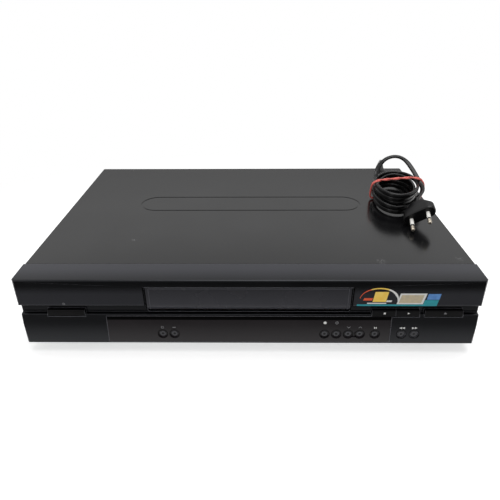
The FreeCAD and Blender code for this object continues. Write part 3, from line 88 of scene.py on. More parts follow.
# Mains lead: flat twin PVC, wound in a tied hank on the cover, with one loop standing up. All sizes are in mm
cord = {
    "width": 5.4,
    "thickness": 3.4,
    "sides": 14,
    "rounding": (0.85, 0.7),  # powers that square the section off, along its width and its thickness
    "groove": (0.14, 0.28),  # depth and reach of the groove between the cores, as shares
    "exit": (187, 161.5, 30),
    "lead": [
        (187, 161.5, 30), (187, 177.5, 30), (189.5, 190.5, 38.5), (193, 195.5, 53.5), (196, 190.5, 69.5),
        (195.5, 177, 82), (191, 160, 89), (186, 142.5, 91.8), (182.8, 125, 88.5), (186, 108, 87.2),
        (190.5, 90, 87.2),
    ],
    "leadTwist": {8: 0.3, 9: 0.6, 10: 0.9},  # share of the quarter turn made at these points of the lead
    "approach": 14,
    "meet": 4.4,  # the lead lies straight for the approach, and ends this far before the first turn
    "arch": [
        (153.5, 44.5, 109.8), (158, 52, 119.5), (167, 56.5, 128.5), (180, 57.5, 131.5), (190.5, 53, 128),
        (197, 42, 119.5), (201, 29, 111.5), (203.5, 11.5, 105.5), (188.93, -9.49, 103.36),
        (188.66, -10.94, 103.09),
    ],
    "archFaces": [
        (-0.5, 0.3, 0.8), (-0.8, 0.5, 0.3), (-0.4, 0.9, 0), (-0.1, 1, 0), (0.2, 1, 0.2), (0.8, 0.5, 0.4),
        (0.9, 0.1, 0.3), (0.8, -0.1, 0.5), (0.775, -0.251, 0.58), (0.775, -0.251, 0.58),
    ],
    "centre": (174.5, 28.5),
    "turn": 12,  # degrees
    "halfWidth": 26.5,
    "halfLength": 44.5,
    "step": 5.1,  # from one turn to the next within a layer
    "lift": 4.95,  # from one layer to the next
    "first": 4.4,  # the lowest layer's middle above the cover
    "start": -0.125,
    "legTurns": 1.25,
    "legs": 4,
    "lastTurns": 0.625,
    "climbTurns": 0.5,  # a reversal takes this part of a turn to climb
    "pointsPerTurn": 16,
    "lineSteps": 12,
}


def hankPoint(t):
    # turns go round a rounded oblong, inwards and back outwards, and each reversal climbs a layer
    wave = (t - cord["start"]) % (2 * cord["legTurns"])
    inward = wave if wave <= cord["legTurns"] else 2 * cord["legTurns"] - wave
    a = cord["halfWidth"] - cord["step"] * inward
    b = cord["halfLength"] - cord["step"] * inward
    layer = 0
    for k in range(1, cord["legs"] + 1):
        share = min(max((t - cord["start"] - k * cord["legTurns"]) / cord["climbTurns"] + 0.5, 0), 1)
        layer += share * share * (3 - 2 * share)
    angle = 2 * math.pi * t
    turn = math.radians(cord["turn"])
    x, y, rise = a * math.cos(angle), -b * math.sin(angle), cord["lift"] * layer
    return Vector((
        cord["centre"][0] + x * math.cos(turn) + y * math.sin(turn),
        cord["centre"][1] - x * math.sin(turn) + y * math.cos(turn),
        coverTop + cord["first"] + rise,
    ))


def cordRoute():
    # control points, each with the direction of the section's width there
    start = cord["start"]
    end = start + cord["legs"] * cord["legTurns"] + cord["lastTurns"]
    heading = (hankPoint(start + 0.01) - hankPoint(start)).normalized()  # a hundredth of a turn on
    meet = hankPoint(start) - heading * cord["meet"]
    up = Vector((0, 0, 1))
    route = [(Vector(p), Vector((1, 0, 0))) for p in cord["lead"]]
    for i, share in cord["leadTwist"].items():
        route[i] = (route[i][0], Vector((1 - share, 0, share)))
    route += [(meet - heading * cord["approach"], up), (meet, up)]
    count = round((end - start) * cord["pointsPerTurn"])
    for i in range(1, count + 1):
        route.append((hankPoint(start + (end - start) * i / count), up))
    route += [(Vector(p), Vector(f)) for p, f in zip(cord["arch"], cord["archFaces"])]
    return route


def smoothLine(name, points, steps, closed=False):
    # the line of a NURBS curve with these control points, read back as a row or a ring of centres
    curve = bpy.data.curves.new(name, "CURVE")
    curve.dimensions = "3D"
    curve.resolution_u = steps
    spline = curve.splines.new("NURBS")
    spline.points.add(len(points) - 1)
    for target, point in zip(spline.points, points):
        target.co = (*(Vector(point) * mm), 1)
    spline.order_u = 3
    if closed:
        spline.use_cyclic_u = True
    else:
        spline.use_endpoint_u = True
    holder = bpy.data.objects.new(name, curve)
    bpy.context.scene.collection.objects.link(holder)
    bpy.context.view_layer.update()
    line = bpy.data.meshes.new_from_object(holder.evaluated_get(bpy.context.evaluated_depsgraph_get()))
    centres = [v.co.copy() for v in line.vertices]
    bpy.data.objects.remove(holder)
    return centres


def flatSection(settings):
    # a flat oval with a shallow groove on each flat, between the two cores
    depth, reach = settings["groove"]
    wideRounding, thinRounding = settings["rounding"]
    points = []
    for i in range(settings["sides"]):
        angle = 2 * math.pi * i / settings["sides"]
        u = math.cos(angle)
        v = math.sin(angle)
        waist = 1 - depth * math.exp(-(u / reach) ** 2)
        points.append((settings["width"] / 2 * math.copysign(abs(u) ** wideRounding, u),
                       settings["thickness"] / 2 * math.copysign(abs(v) ** thinRounding, v) * waist))
    return points


def sweep(name, centres, wides, section, closed=False):
    # lays the section at every centre, its first axis along the wide direction
    mesh = bpy.data.meshes.new(name)
    shape = bmesh.new()
    rings = []
    last = len(centres) - 1
    for i, centre in enumerate(centres):
        back = centres[i - 1] if closed or i else centres[0]
        ahead = centres[(i + 1) % len(centres)] if closed or i < last else centres[last]
        tangent = (ahead - back).normalized()
        wide = (wides[i] - tangent * wides[i].dot(tangent)).normalized()
        thin = tangent.cross(wide)
        rings.append([shape.verts.new(centre + wide * (u * mm) + thin * (v * mm)) for u, v in section])
    count = len(section)
    pairs = list(zip(rings, rings[1:])) + ([(rings[-1], rings[0])] if closed else [])
    for one, two in pairs:
        for k in range(count):
            shape.faces.new((one[k], one[(k + 1) % count], two[(k + 1) % count], two[k]))
    if not closed:
        shape.faces.new(rings[0])
        shape.faces.new(rings[-1])
    bmesh.ops.recalc_face_normals(shape, faces=shape.faces)
    shape.to_mesh(mesh)
    shape.free()
    for face in mesh.polygons:
        face.use_smooth = True
    piece = bpy.data.objects.new(name, mesh)
    bpy.context.scene.collection.objects.link(piece)
    return piece


def spread(values, count):
    # eases a direction per control point over all the centres
    result = []
    for i in range(count):
        place = i / (count - 1) * (len(values) - 1)
        low = min(int(place), len(values) - 2)
        share = place - low
        before, after = values[low].normalized(), values[low + 1].normalized()
        result.append((before * (1 - share) + after * share).normalized())
    return result


def lineLength(centres):
    return sum((b - a).length for a, b in zip(centres, centres[1:]))


route = cordRoute()
cordLine = smoothLine("mainsLeadLine", [p for p, face in route], cord["lineSteps"])
wides = spread([face for p, face in route], len(cordLine))
mainsLead = sweep("mainsLead", cordLine, wides, flatSection(cord))
log("mains lead %.0f mm in %d rings" % (lineLength(cordLine) / mm, len(cordLine)))

# Rubber band, doubled round the hank, its two strands wound about each other on top. All sizes are in mm
band = {
    "route": [
        (147.2, 33, 86.5), (146.2, 31, 92), (145.8, 28, 100.5), (146.4, 25, 108.6), (152.3, 24, 112.4),
        (166, 25, 113.4), (184, 26, 114.6), (196, 25.5, 115.2), (203.5, 25, 113), (207.4, 25, 107),
        (208, 26, 98), (207.6, 29, 89), (205.5, 31, 85.4), (176, 33, 84.95), (152, 33, 85.05),
    ],
    "lineSteps": 10,
    "sides": 10,
    "strandApart": 1.0,  # from each strand to the middle between them
    "radius": 0.9,
    "twists": 2.5,
    "twistAbove": 111,  # height over which they wind
    "twistStart": 2,  # the winding comes in over this much more height
    "twistFlat": 0.6,  # the strands are pressed flat to this share of a round winding
}


def bandLine(side):
    # one strand: beside the other below, winding about it on top
    centres = smoothLine("bandMiddle", band["route"], band["lineSteps"], closed=True)
    left = min(c.x for c in centres)
    right = max(c.x for c in centres)
    strand = []
    for centre in centres:
        along = (centre.x - left) / (right - left)
        rise = min(max((centre.z / mm - band["twistAbove"]) / band["twistStart"], 0), 1)
        turn = 2 * math.pi * band["twists"] * along * rise
        offset = side * band["strandApart"] * mm
        lift = band["twistFlat"] * offset * math.sin(turn)
        strand.append(centre + Vector((0, offset * math.cos(turn), lift)))
    return strand


def roundSection(settings):
    angles = [2 * math.pi * k / settings["sides"] for k in range(settings["sides"])]
    return [(math.cos(a) * settings["radius"], math.sin(a) * settings["radius"]) for a in angles]


def joinPieces(pieces):
    # the joined piece stays selected and active
    bpy.ops.object.select_all(action="DESELECT")
    for piece in pieces:
        piece.select_set(True)
    bpy.context.view_layer.objects.active = pieces[0]
    if len(pieces) > 1:
        bpy.ops.object.join()
    return pieces[0]


bandStrands = []
for side in (-1, 1):
    centres = bandLine(side)
    across = [Vector((0, 1, 0))] * len(centres)
    bandStrands.append(sweep("strand", centres, across, roundSection(band), closed=True))
rubberBand = joinPieces(bandStrands)
rubberBand.name = "rubberBand"

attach(mainsLead, "case")
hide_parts("cord_lead", "cord_coil")
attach(rubberBand, "case")
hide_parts("rubber_band")
log("cord and band declared")


# Materials. Object coordinates are in metres, so a pattern of size s mm has scale 1000 / s
mixA, mixB, mixResult = 6, 7, 2  # a colour Mix node's two colours in, and the socket that gives the result
noiseRange = {"From Min": 0.3, "From Max": 0.7}  # where most of a noise texture's values lie
grainDepth = 0.2  # height of the grain's bumps, as a share of their width
paintedLightHeight = 100  # the stops of the painted reflection are shares of this height, mm
edgeHighlightRange = {"From Min": 0.995, "From Max": 0.85}  # cosine between both normals, painted edge highlight from none to full


def linear(hexText):
    channels = [int(hexText[i:i + 2], 16) / 255 for i in (1, 3, 5)]
    return tuple(c / 12.92 if c <= 0.04045 else ((c + 0.055) / 1.055) ** 2.4 for c in channels) + (1,)


def addNode(tree, kind, settings=None, links=None):
    node = tree.nodes.new(kind)
    for key, value in (settings or {}).items():
        if key == "stops":
            ramp = node.color_ramp.elements
            ramp[0].position, ramp[1].position = value[0][0], value[-1][0]
            for stop in value[1:-1]:
                ramp.new(stop[0])
            for element, (position, grey) in zip(ramp, value):
                element.color = (grey, grey, grey, 1)
        elif isinstance(key, int) or key in node.inputs:
            node.inputs[key].default_value = value
        else:
            setattr(node, key, value)
    for key, socket in (links or {}).items():
        tree.links.new(socket, node.inputs[key])
    return node


def newMaterial(name):
    material = bpy.data.materials.new(name)
    material.use_nodes = True
    tree = material.node_tree
    tree.nodes.clear()
    coordinates = addNode(tree, "ShaderNodeTexCoord")
    return material, tree, coordinates.outputs["Object"]


def finishMaterial(settings):
    # a body colour that drifts between two tones, a roughness that drifts, and a fine grain
    material, tree, place = newMaterial(settings["name"])
    if "stretch" in settings:
        stretched = addNode(tree, "ShaderNodeMapping", {"Scale": settings["stretch"]}, {"Vector": place})
        place = stretched.outputs["Vector"]
    drift = addNode(tree, "ShaderNodeTexNoise", {"Scale": 1000 / settings["driftMm"], "Detail": 4},
                    {"Vector": place})
    grain = addNode(tree, "ShaderNodeTexNoise", {"Scale": 1000 / settings["grainMm"], "Detail": 2},
                    {"Vector": place})
    tone = addNode(tree, "ShaderNodeMix",
                   {"data_type": "RGBA", mixA: linear(settings["colour"]), mixB: linear(settings["second"])},
                   {0: drift.outputs["Fac"]})
    rough = addNode(tree, "ShaderNodeMapRange",
                    {**noiseRange, "To Min": settings["rough"][0], "To Max": settings["rough"][1]},
                    {"Value": drift.outputs["Fac"]})
    if "haze" in settings:
        # painted reflection and highlight: a paler colour laid over part of the height
        paintedLightColour, stops = settings["haze"]
        parts = addNode(tree, "ShaderNodeSeparateXYZ", {}, {"Vector": place})
        height = addNode(tree, "ShaderNodeMath", {"operation": "MULTIPLY", 1: 1000 / paintedLightHeight},
                         {0: parts.outputs["Z"]})
        film = addNode(tree, "ShaderNodeValToRGB", {"stops": stops}, {"Fac": height.outputs[0]})
        tone = addNode(tree, "ShaderNodeMix", {"data_type": "RGBA", mixB: linear(paintedLightColour)},
                       {0: film.outputs["Color"], mixA: tone.outputs[mixResult]})
    if "edge" in settings:
        # painted highlight: edges are painted paler, where a rounded normal leaves the face's own
        edgeColour, edgeRadius = settings["edge"]
        rounded = addNode(tree, "ShaderNodeBevel", {"samples": 6, "Radius": edgeRadius * mm})
        flat = addNode(tree, "ShaderNodeNewGeometry")
        match = addNode(tree, "ShaderNodeVectorMath", {"operation": "DOT_PRODUCT"},
                        {0: rounded.outputs[0], 1: flat.outputs["Normal"]})
        rubbed = addNode(tree, "ShaderNodeMapRange", edgeHighlightRange, {"Value": match.outputs["Value"]})
        tone = addNode(tree, "ShaderNodeMix", {"data_type": "RGBA", mixB: linear(edgeColour)},
                       {0: rubbed.outputs["Result"], mixA: tone.outputs[mixResult]})
    bump = addNode(tree, "ShaderNodeBump",
                   {"Strength": settings["bump"], "Distance": settings["grainMm"] * mm * grainDepth},
                   {"Height": grain.outputs["Fac"]})
    shader = addNode(tree, "ShaderNodeBsdfPrincipled", settings["shader"],
                     {"Base Color": tone.outputs[mixResult], "Roughness": rough.outputs["Result"],
                      "Normal": bump.outputs["Normal"]})
    addNode(tree, "ShaderNodeOutputMaterial", {}, {"Surface": shader.outputs["BSDF"]})
    return material


# Sizes are in mm. "rough" runs from one value to the other with the drift, "haze" is the colour of a painted
# reflection and highlight and how much of it lies at which height, and the edge entry is the painted edge
# highlight's colour and radius
finishes = {
    # black ABS, polished mould: deep black, clear reflections with a faint waviness; its haze is a painted
    # reflection, paler low on the visor, and a painted highlight along the top edge
    "glossAbs": {"name": "glossBlackAbs", "colour": "#050506", "second": "#09090b", "driftMm": 60,
                 "rough": (0.14, 0.22), "grainMm": 1.2, "bump": 0.05, "edge": ("#77777d", 0.8),
                 "haze": ("#3d3d42", [(0, 0), (0.535, 0), (0.545, 0.48), (0.68, 0.42), (0.76, 0), (0.833, 0),
                                      (0.837, 1), (1, 1)]),
                 "shader": {"IOR": 1.4, "Specular Tint": (0.9, 0.93, 1, 1)}},
    # the same ABS on the door, with a painted reflection that makes it greyer towards the bottom
    "doorAbs": {"name": "doorBlackAbs", "colour": "#0c0c0f", "second": "#121217", "driftMm": 35,
                "rough": (0.2, 0.32), "grainMm": 0.9, "bump": 0.06, "edge": ("#5a5a62", 0.8),
                "haze": ("#3d3d43", [(0, 0.85), (0.48, 0.85), (0.56, 0.75), (0.75, 0.4), (1, 0.4)]),
                "shader": {"IOR": 1.47}},
    # smoked acrylic: nearly black with a warm cast, very smooth
    "smokedAcrylic": {"name": "smokedAcrylic", "colour": "#1f1c1e", "second": "#242022", "driftMm": 50,
                      "rough": (0.1, 0.18), "grainMm": 2.0, "bump": 0.03, "edge": ("#434045", 0.5),
                      "shader": {"IOR": 1.36}},
    # fine spark eroded ABS of the keys: satin black
    "keyAbs": {"name": "satinKeyAbs", "colour": "#040405", "second": "#08080a", "driftMm": 8,
               "rough": (0.3, 0.45), "grainMm": 0.35, "bump": 0.12, "edge": ("#5a5a5e", 0.6),
               "shader": {"IOR": 1.25}},
    # the same ABS polished on the round buttons, and the paler ring of painted sheen on each
    "buttonAbs": {"name": "polishedButtonAbs", "colour": "#030304", "second": "#070708", "driftMm": 4,
                  "rough": (0.3, 0.4), "grainMm": 0.3, "bump": 0.08, "shader": {"IOR": 1.3}},
    "paintedDishSheen": {"name": "wornButtonDish", "colour": "#323236", "second": "#4a4a4e", "driftMm": 2.5,
                "rough": (0.35, 0.5), "grainMm": 0.3, "bump": 0.1, "shader": {"IOR": 1.45}},
    # painted shade: matt black laid in the gap round the door, round each round button and over the window
    "paintedShade": {"name": "blackGapFelt", "colour": "#010101", "second": "#040404", "driftMm": 4,
                "rough": (0.85, 0.95), "grainMm": 0.4, "bump": 0.3, "shader": {"IOR": 1.15}},
    # glossy ABS collars of the audio sockets, white for left and red for right
    "whiteCollar": {"name": "whiteCollarAbs", "colour": "#dedcd4", "second": "#eeece6", "driftMm": 5,
                    "rough": (0.25, 0.35), "grainMm": 0.4, "bump": 0.05, "shader": {"IOR": 1.5}},
    "redCollar": {"name": "redCollarAbs", "colour": "#a81c1c", "second": "#c42a24", "driftMm": 5,
                  "rough": (0.25, 0.35), "grainMm": 0.4, "bump": 0.05, "shader": {"IOR": 1.5}},
    # painted highlight: the pale lines just inside the door's outline
    "paintedHighlightAbs": {"name": "paleMouldingLine", "colour": "#3c3c42", "second": "#48484e", "driftMm": 12,
                "rough": (0.4, 0.5), "grainMm": 0.3, "bump": 0.1, "shader": {"IOR": 1.45}},
    # black nylon or ABS inside the case: matt, slightly dusty
    "mattPlastic": {"name": "mattBlackNylon", "colour": "#101012", "second": "#1b1b1e", "driftMm": 14,
                    "rough": (0.5, 0.7), "grainMm": 0.4, "bump": 0.2, "shader": {"IOR": 1.46}},
    # hot dip galvanised sheet: pale grey with a fine spangle
    "galvanised": {"name": "galvanisedSteel", "colour": "#a9acae", "second": "#c3c6c7", "driftMm": 9,
                   "rough": (0.32, 0.5), "grainMm": 1.5, "bump": 0.08, "shader": {"Metallic": 1.0}},
    # white acetal gears and reels: milky, slightly translucent looking
    "acetal": {"name": "whiteAcetal", "colour": "#dcdacd", "second": "#e8e6dc", "driftMm": 10,
               "rough": (0.3, 0.42), "grainMm": 0.5, "bump": 0.08, "shader": {"IOR": 1.48}},
    # turned aluminium drum: fine rings that catch the light
    "turnedAluminium": {"name": "turnedAluminium", "colour": "#b9babc", "second": "#d2d3d5", "driftMm": 4,
                        "rough": (0.2, 0.34), "grainMm": 0.3, "bump": 0.1, "stretch": (0.05, 0.05, 1),
                        "shader": {"Metallic": 1.0}},
    # ground steel shafts and pins
    "groundSteel": {"name": "groundSteel", "colour": "#b4b4b7", "second": "#cacacd", "driftMm": 3,
                    "rough": (0.14, 0.24), "grainMm": 0.2, "bump": 0.06, "shader": {"Metallic": 1.0}},
    # zinc plated steel with a yellow passivated cast
    "yellowZinc": {"name": "passivatedZinc", "colour": "#a88a4c", "second": "#c2a35d", "driftMm": 6,
                   "rough": (0.25, 0.4), "grainMm": 0.4, "bump": 0.08, "shader": {"Metallic": 1.0}},
    # black moulded rubber: dull, with a faint bloom
    "blackRubber": {"name": "blackRubber", "colour": "#0d0d0d", "second": "#1a1a1a", "driftMm": 6,
                    "rough": (0.6, 0.8), "grainMm": 0.3, "bump": 0.2, "shader": {"IOR": 1.5}},
    # black PVC of the lead, extruded: satin, its edges catch light
    "leadPvc": {"name": "extrudedPvcJacket", "colour": "#080809", "second": "#0f0f10", "driftMm": 18,
                "rough": (0.2, 0.28), "grainMm": 0.5, "bump": 0.08, "shader": {"IOR": 1.42}},
    # injection moulded PVC of the plug: softer sheen than the jacket
    "plugPvc": {"name": "mouldedPvcPlug", "colour": "#070708", "second": "#0d0d0e", "driftMm": 12,
                "rough": (0.3, 0.42), "grainMm": 0.45, "bump": 0.12, "shader": {"IOR": 1.36}},
    # natural rubber: salmon red, a little chalky where it is stretched
    "redRubber": {"name": "redRubberBand", "colour": "#d8524c", "second": "#f08a7e", "driftMm": 7,
                  "rough": (0.42, 0.6), "grainMm": 0.5, "bump": 0.15,
                  "shader": {"IOR": 1.5, "Subsurface Weight": 0.1,
                             "Subsurface Radius": (0.002, 0.0008, 0.0006)}},
    # phenolic paper board: brown with flow marks
    "phenolic": {"name": "phenolicBoard", "colour": "#7a5a2c", "second": "#8f6c38", "driftMm": 12,
                 "rough": (0.4, 0.55), "grainMm": 0.4, "bump": 0.1, "shader": {"IOR": 1.5}},
    # nickel plated brass of pins and sockets
    "nickel": {"name": "nickelPlate", "colour": "#c9c4b8", "second": "#dad6cc", "driftMm": 3,
               "rough": (0.16, 0.28), "grainMm": 0.3, "bump": 0.05, "shader": {"Metallic": 1.0}},
    # display glass: dark grey green
    "displayGlass": {"name": "displayGlass", "colour": "#1b2424", "second": "#223030", "driftMm": 12,
                     "rough": (0.05, 0.1), "grainMm": 2.0, "bump": 0.02, "shader": {"IOR": 1.52}},
    # silicon steel stack with a varnish: dark brown grey
    "laminations": {"name": "varnishedLaminations", "colour": "#3b3735", "second": "#55504b", "driftMm": 5,
                    "rough": (0.35, 0.5), "grainMm": 0.5, "bump": 0.3, "stretch": (0.02, 1, 0.02),
                    "shader": {"Metallic": 0.6}},
    # PET sleeve of the capacitors: dark blue, shiny
    "capSleeve": {"name": "capacitorSleeve", "colour": "#16203a", "second": "#1d2a4a", "driftMm": 6,
                  "rough": (0.2, 0.3), "grainMm": 0.6, "bump": 0.05, "shader": {"IOR": 1.57}},
    # inks of the coloured label: matt paper with a clear film
    "inkRed": {"name": "labelRed", "colour": "#d83a28", "second": "#ee6a30", "driftMm": 9,
               "rough": (0.3, 0.4), "grainMm": 0.3, "bump": 0.03, "shader": {"IOR": 1.48}},
    "inkYellow": {"name": "labelYellow", "colour": "#f8c42a", "second": "#ffe27a", "driftMm": 6,
                  "rough": (0.3, 0.4), "grainMm": 0.3, "bump": 0.03, "shader": {"IOR": 1.48}},
    "inkCream": {"name": "labelCream", "colour": "#dcc9a0", "second": "#a9a294", "driftMm": 3,
                 "rough": (0.3, 0.4), "grainMm": 0.3, "bump": 0.03, "shader": {"IOR": 1.48}},
    "inkBlue": {"name": "labelBlue", "colour": "#3c6cb4", "second": "#6aa4e0", "driftMm": 3,
                "rough": (0.3, 0.4), "grainMm": 0.3, "bump": 0.03, "shader": {"IOR": 1.48}},
    "inkTeal": {"name": "labelTeal", "colour": "#22a8b2", "second": "#178490", "driftMm": 4,
                "rough": (0.3, 0.4), "grainMm": 0.3, "bump": 0.03, "shader": {"IOR": 1.48}},
    # white ink of the printed marks
    "whiteInk": {"name": "whitePrintedInk", "colour": "#d9d9d6", "second": "#e6e6e3", "driftMm": 2,
                 "rough": (0.45, 0.6), "grainMm": 0.3, "bump": 0.1, "shader": {"IOR": 1.48}},
    # the same ink, thin and half worn off
    "dimInk": {"name": "wornPrintedInk", "colour": "#77777a", "second": "#9a9a9c", "driftMm": 2,
               "rough": (0.45, 0.6), "grainMm": 0.3, "bump": 0.1, "shader": {"IOR": 1.48}},
}
materials = {key: finishMaterial(settings) for key, settings in finishes.items()}


# sheet steel with baked satin black paint: fine orange peel, and a few spots rubbed grey
coverPaint = {
    "name": "satinBlackPaint", "colour": "#08080a", "second": "#0f0f10", "driftMm": 90, "rough": (0.16, 0.22),
    "peelMm": 1.6, "peelDepthMm": 0.2, "bump": 0.08,
    # rubbed spots, each with its place across and back and its radius, broken up into crumbs of paint
    "scuffs": [(203, -106.5, 5), (134, -135.5, 3), (127, -111.5, 6), (-120, -70, 4)],
    "rubbed": "#6a6a6c", "crumbMm": 1.1, "crumbRange": (0.52, 0.62),
    "shader": {"IOR": 1.5},
}


def coverMaterial(settings):
    material, tree, place = newMaterial(settings["name"])
    drift = addNode(tree, "ShaderNodeTexNoise", {"Scale": 1000 / settings["driftMm"], "Detail": 5},
                    {"Vector": place})
    peel = addNode(tree, "ShaderNodeTexNoise", {"Scale": 1000 / settings["peelMm"], "Detail": 3},
                   {"Vector": place})
    crumbs = addNode(tree, "ShaderNodeTexNoise", {"Scale": 1000 / settings["crumbMm"], "Detail": 3},
                     {"Vector": place})
    mask = None
    for x, y, radius in settings["scuffs"]:
        centre = (x * mm, y * mm, coverTop * mm)
        away = addNode(tree, "ShaderNodeVectorMath", {"operation": "DISTANCE", 1: centre}, {0: place})
        near = addNode(tree, "ShaderNodeMapRange", {"From Min": radius * mm, "From Max": 0},
                       {"Value": away.outputs["Value"]})
        mask = near if mask is None else addNode(tree, "ShaderNodeMath", {"operation": "MAXIMUM"},
                                                 {0: mask.outputs[0], 1: near.outputs[0]})
    low, high = settings["crumbRange"]
    speck = addNode(tree, "ShaderNodeMapRange", {"From Min": low, "From Max": high},
                    {"Value": crumbs.outputs["Fac"]})
    scuff = addNode(tree, "ShaderNodeMath", {"operation": "MULTIPLY"},
                    {0: mask.outputs[0], 1: speck.outputs[0]})
    tone = addNode(tree, "ShaderNodeMix",
                   {"data_type": "RGBA", mixA: linear(settings["colour"]), mixB: linear(settings["second"])},
                   {0: drift.outputs["Fac"]})
    worn = addNode(tree, "ShaderNodeMix", {"data_type": "RGBA", mixB: linear(settings["rubbed"])},
                   {0: scuff.outputs[0], mixA: tone.outputs[mixResult]})
    rough = addNode(tree, "ShaderNodeMapRange",
                    {**noiseRange, "To Min": settings["rough"][0], "To Max": settings["rough"][1]},
                    {"Value": drift.outputs["Fac"]})
    bump = addNode(tree, "ShaderNodeBump",
                   {"Strength": settings["bump"], "Distance": settings["peelDepthMm"] * mm},
                   {"Height": peel.outputs["Fac"]})
    shader = addNode(tree, "ShaderNodeBsdfPrincipled", settings["shader"],
                     {"Base Color": worn.outputs[mixResult], "Roughness": rough.outputs["Result"],
                      "Normal": bump.outputs["Normal"]})
    addNode(tree, "ShaderNodeOutputMaterial", {}, {"Surface": shader.outputs["BSDF"]})
    return material


# nickel plated brass pins, white near the plug, with a dark ring of painted shade where the white sleeve ends
sleevedPins = {
    "name": "sleevedNickelPins", "face": (182.9, -41.9, 97.4), "along": (-0.18, -0.968, -0.178),
    "sleeve": 10.3, "ring": 12.6,  # where each ends, mm from the plug's face
    "paleSleeve": ("#e9e7e1", "#f4f3ef"), "paintedRingShade": "#19191a", "plating": ("#c3b7a4", "#dcd4c6"),
    "hazeMm": 2.5, "rough": (0.22, 0.38), "bump": 0.06, "bumpDepthMm": 0.1,
}


def pinMaterial(settings):
    material, tree, place = newMaterial(settings["name"])
    offset = addNode(tree, "ShaderNodeVectorMath",
                     {"operation": "SUBTRACT", 1: tuple(c * mm for c in settings["face"])}, {0: place})
    depth = addNode(tree, "ShaderNodeVectorMath", {"operation": "DOT_PRODUCT", 1: settings["along"]},
                    {0: offset.outputs["Vector"]})
    pastSleeve = addNode(tree, "ShaderNodeMath", {"operation": "GREATER_THAN", 1: settings["sleeve"] * mm},
                         {0: depth.outputs["Value"]})
    pastRing = addNode(tree, "ShaderNodeMath", {"operation": "GREATER_THAN", 1: settings["ring"] * mm},
                       {0: depth.outputs["Value"]})
    haze = addNode(tree, "ShaderNodeTexNoise", {"Scale": 1000 / settings["hazeMm"], "Detail": 3},
                   {"Vector": place})
    paleSleeve, plating = (
        addNode(tree, "ShaderNodeMix", {"data_type": "RGBA", mixA: linear(first), mixB: linear(second)},
                {0: haze.outputs["Fac"]})
        for first, second in (settings["paleSleeve"], settings["plating"])
    )
    # the dark ring is painted shade at the sleeve's step
    sleeved = addNode(tree, "ShaderNodeMix", {"data_type": "RGBA", mixB: linear(settings["paintedRingShade"])},
                      {0: pastSleeve.outputs[0], mixA: paleSleeve.outputs[mixResult]})
    tone = addNode(tree, "ShaderNodeMix", {"data_type": "RGBA"},
                   {0: pastRing.outputs[0], mixA: sleeved.outputs[mixResult],
                    mixB: plating.outputs[mixResult]})
    rough = addNode(tree, "ShaderNodeMapRange",
                    {"To Min": settings["rough"][0], "To Max": settings["rough"][1]},
                    {"Value": haze.outputs["Fac"]})
    bump = addNode(tree, "ShaderNodeBump",
                   {"Strength": settings["bump"], "Distance": settings["bumpDepthMm"] * mm},
                   {"Height": haze.outputs["Fac"]})
    shader = addNode(tree, "ShaderNodeBsdfPrincipled", {},
                     {"Base Color": tone.outputs[mixResult], "Metallic": pastRing.outputs[0],
                      "Roughness": rough.outputs["Result"], "Normal": bump.outputs["Normal"]})
    addNode(tree, "ShaderNodeOutputMaterial", {}, {"Surface": shader.outputs["BSDF"]})
    return material


materials["coverPaint"] = coverMaterial(coverPaint)
materials["sleevedPins"] = pinMaterial(sleevedPins)
log("%d materials" % len(materials))


def dress(piece, key):
    piece.data.materials.clear()
    piece.data.materials.append(materials[key])


flatKeys = ["power_button", "stop_button", "play_button", "eject_button"]
roundButtons = [name for name in nodes if name.endswith("_button") and name not in flatKeys]
dressing = {
    "coverPaint": ["top_cover"],
    "glossAbs": ["front_panel"],
    "doorAbs": ["cassette_door"],
    "smokedAcrylic": ["display_window"],
    "keyAbs": flatKeys,
    "buttonAbs": roundButtons,
    "galvanised": ["bottom_plate", "rear_panel", "carriage_frame", "cassette_holder", "tuner_module",
                   "loading_motor", "deck_plate", "pinch_arm", "tension_arm", "supply_guide_arm",
                   "take_up_guide_arm"],
    "mattPlastic": ["feet", "carriage_slider", "scart_sockets", "idler_arm", "tact_switches"],
    "acetal": ["cam_gear", "supply_reel_table", "take_up_reel_table", "clutch_pulley"],
    "turnedAluminium": ["upper_drum", "lower_drum", "heat_sink"],
    "groundSteel": ["door_spring", "cover_screws"],
    "yellowZinc": ["capstan_flywheel", "loading_worm"],
    "blackRubber": ["reel_belt", "idler_wheel", "pinch_roller"],
    "leadPvc": ["cord_gland"],
    "plugPvc": ["plug_body"],
    "nickel": ["phono_sockets", "tape_heads"],
    "sleevedPins": ["plug_pins"],
    "phenolic": ["main_circuit_board", "front_circuit_board"],
    "displayGlass": ["display_tube"],
    "laminations": ["power_transformer"],
    "capSleeve": ["filter_capacitors"],
}
for key, names in dressing.items():
    for name in names:
        dress(nodes[name], key)
dress(mainsLead, "leadPvc")
dress(rubberBand, "redRubber")
undressed = [name for name in nodes if not any(name in names for names in dressing.values())]
log("nodes without a finish of their own: %s" % ", ".join(undressed))


# Printed marks, a plain coloured label, and thin trim: films drawn as (across, up) in mm on a face
filmSunk = 0.03  # how far each is let into its face, mm
faces = {
    # each face: its depth at height zero, how far it leans back in degrees, and its body
    "visor": (-140.62, -1.969, "case"),
    "window": (-144.46, 5.242, "case"),
    "stop": (-140.5, 0, "stop_button"),
    "play": (-140.5, 0, "play_button"),
    "eject": (-140.5, 0, "eject_button"),
    "door": (-140.62, -1.969, "cassette_door"),
    "rear": (139.5, 0, "case"),
}


def disc(x, z, radius, count=20):
    return [(x + radius * math.cos(2 * math.pi * k / count), z + radius * math.sin(2 * math.pi * k / count))
            for k in range(count)]


def block(x0, x1, z0, z1, slant=0):
    # an upright oblong, or one whose top is moved across by the slant
    return [(x0, z0), (x1, z0), (x1 + slant, z1), (x0 + slant, z1)]


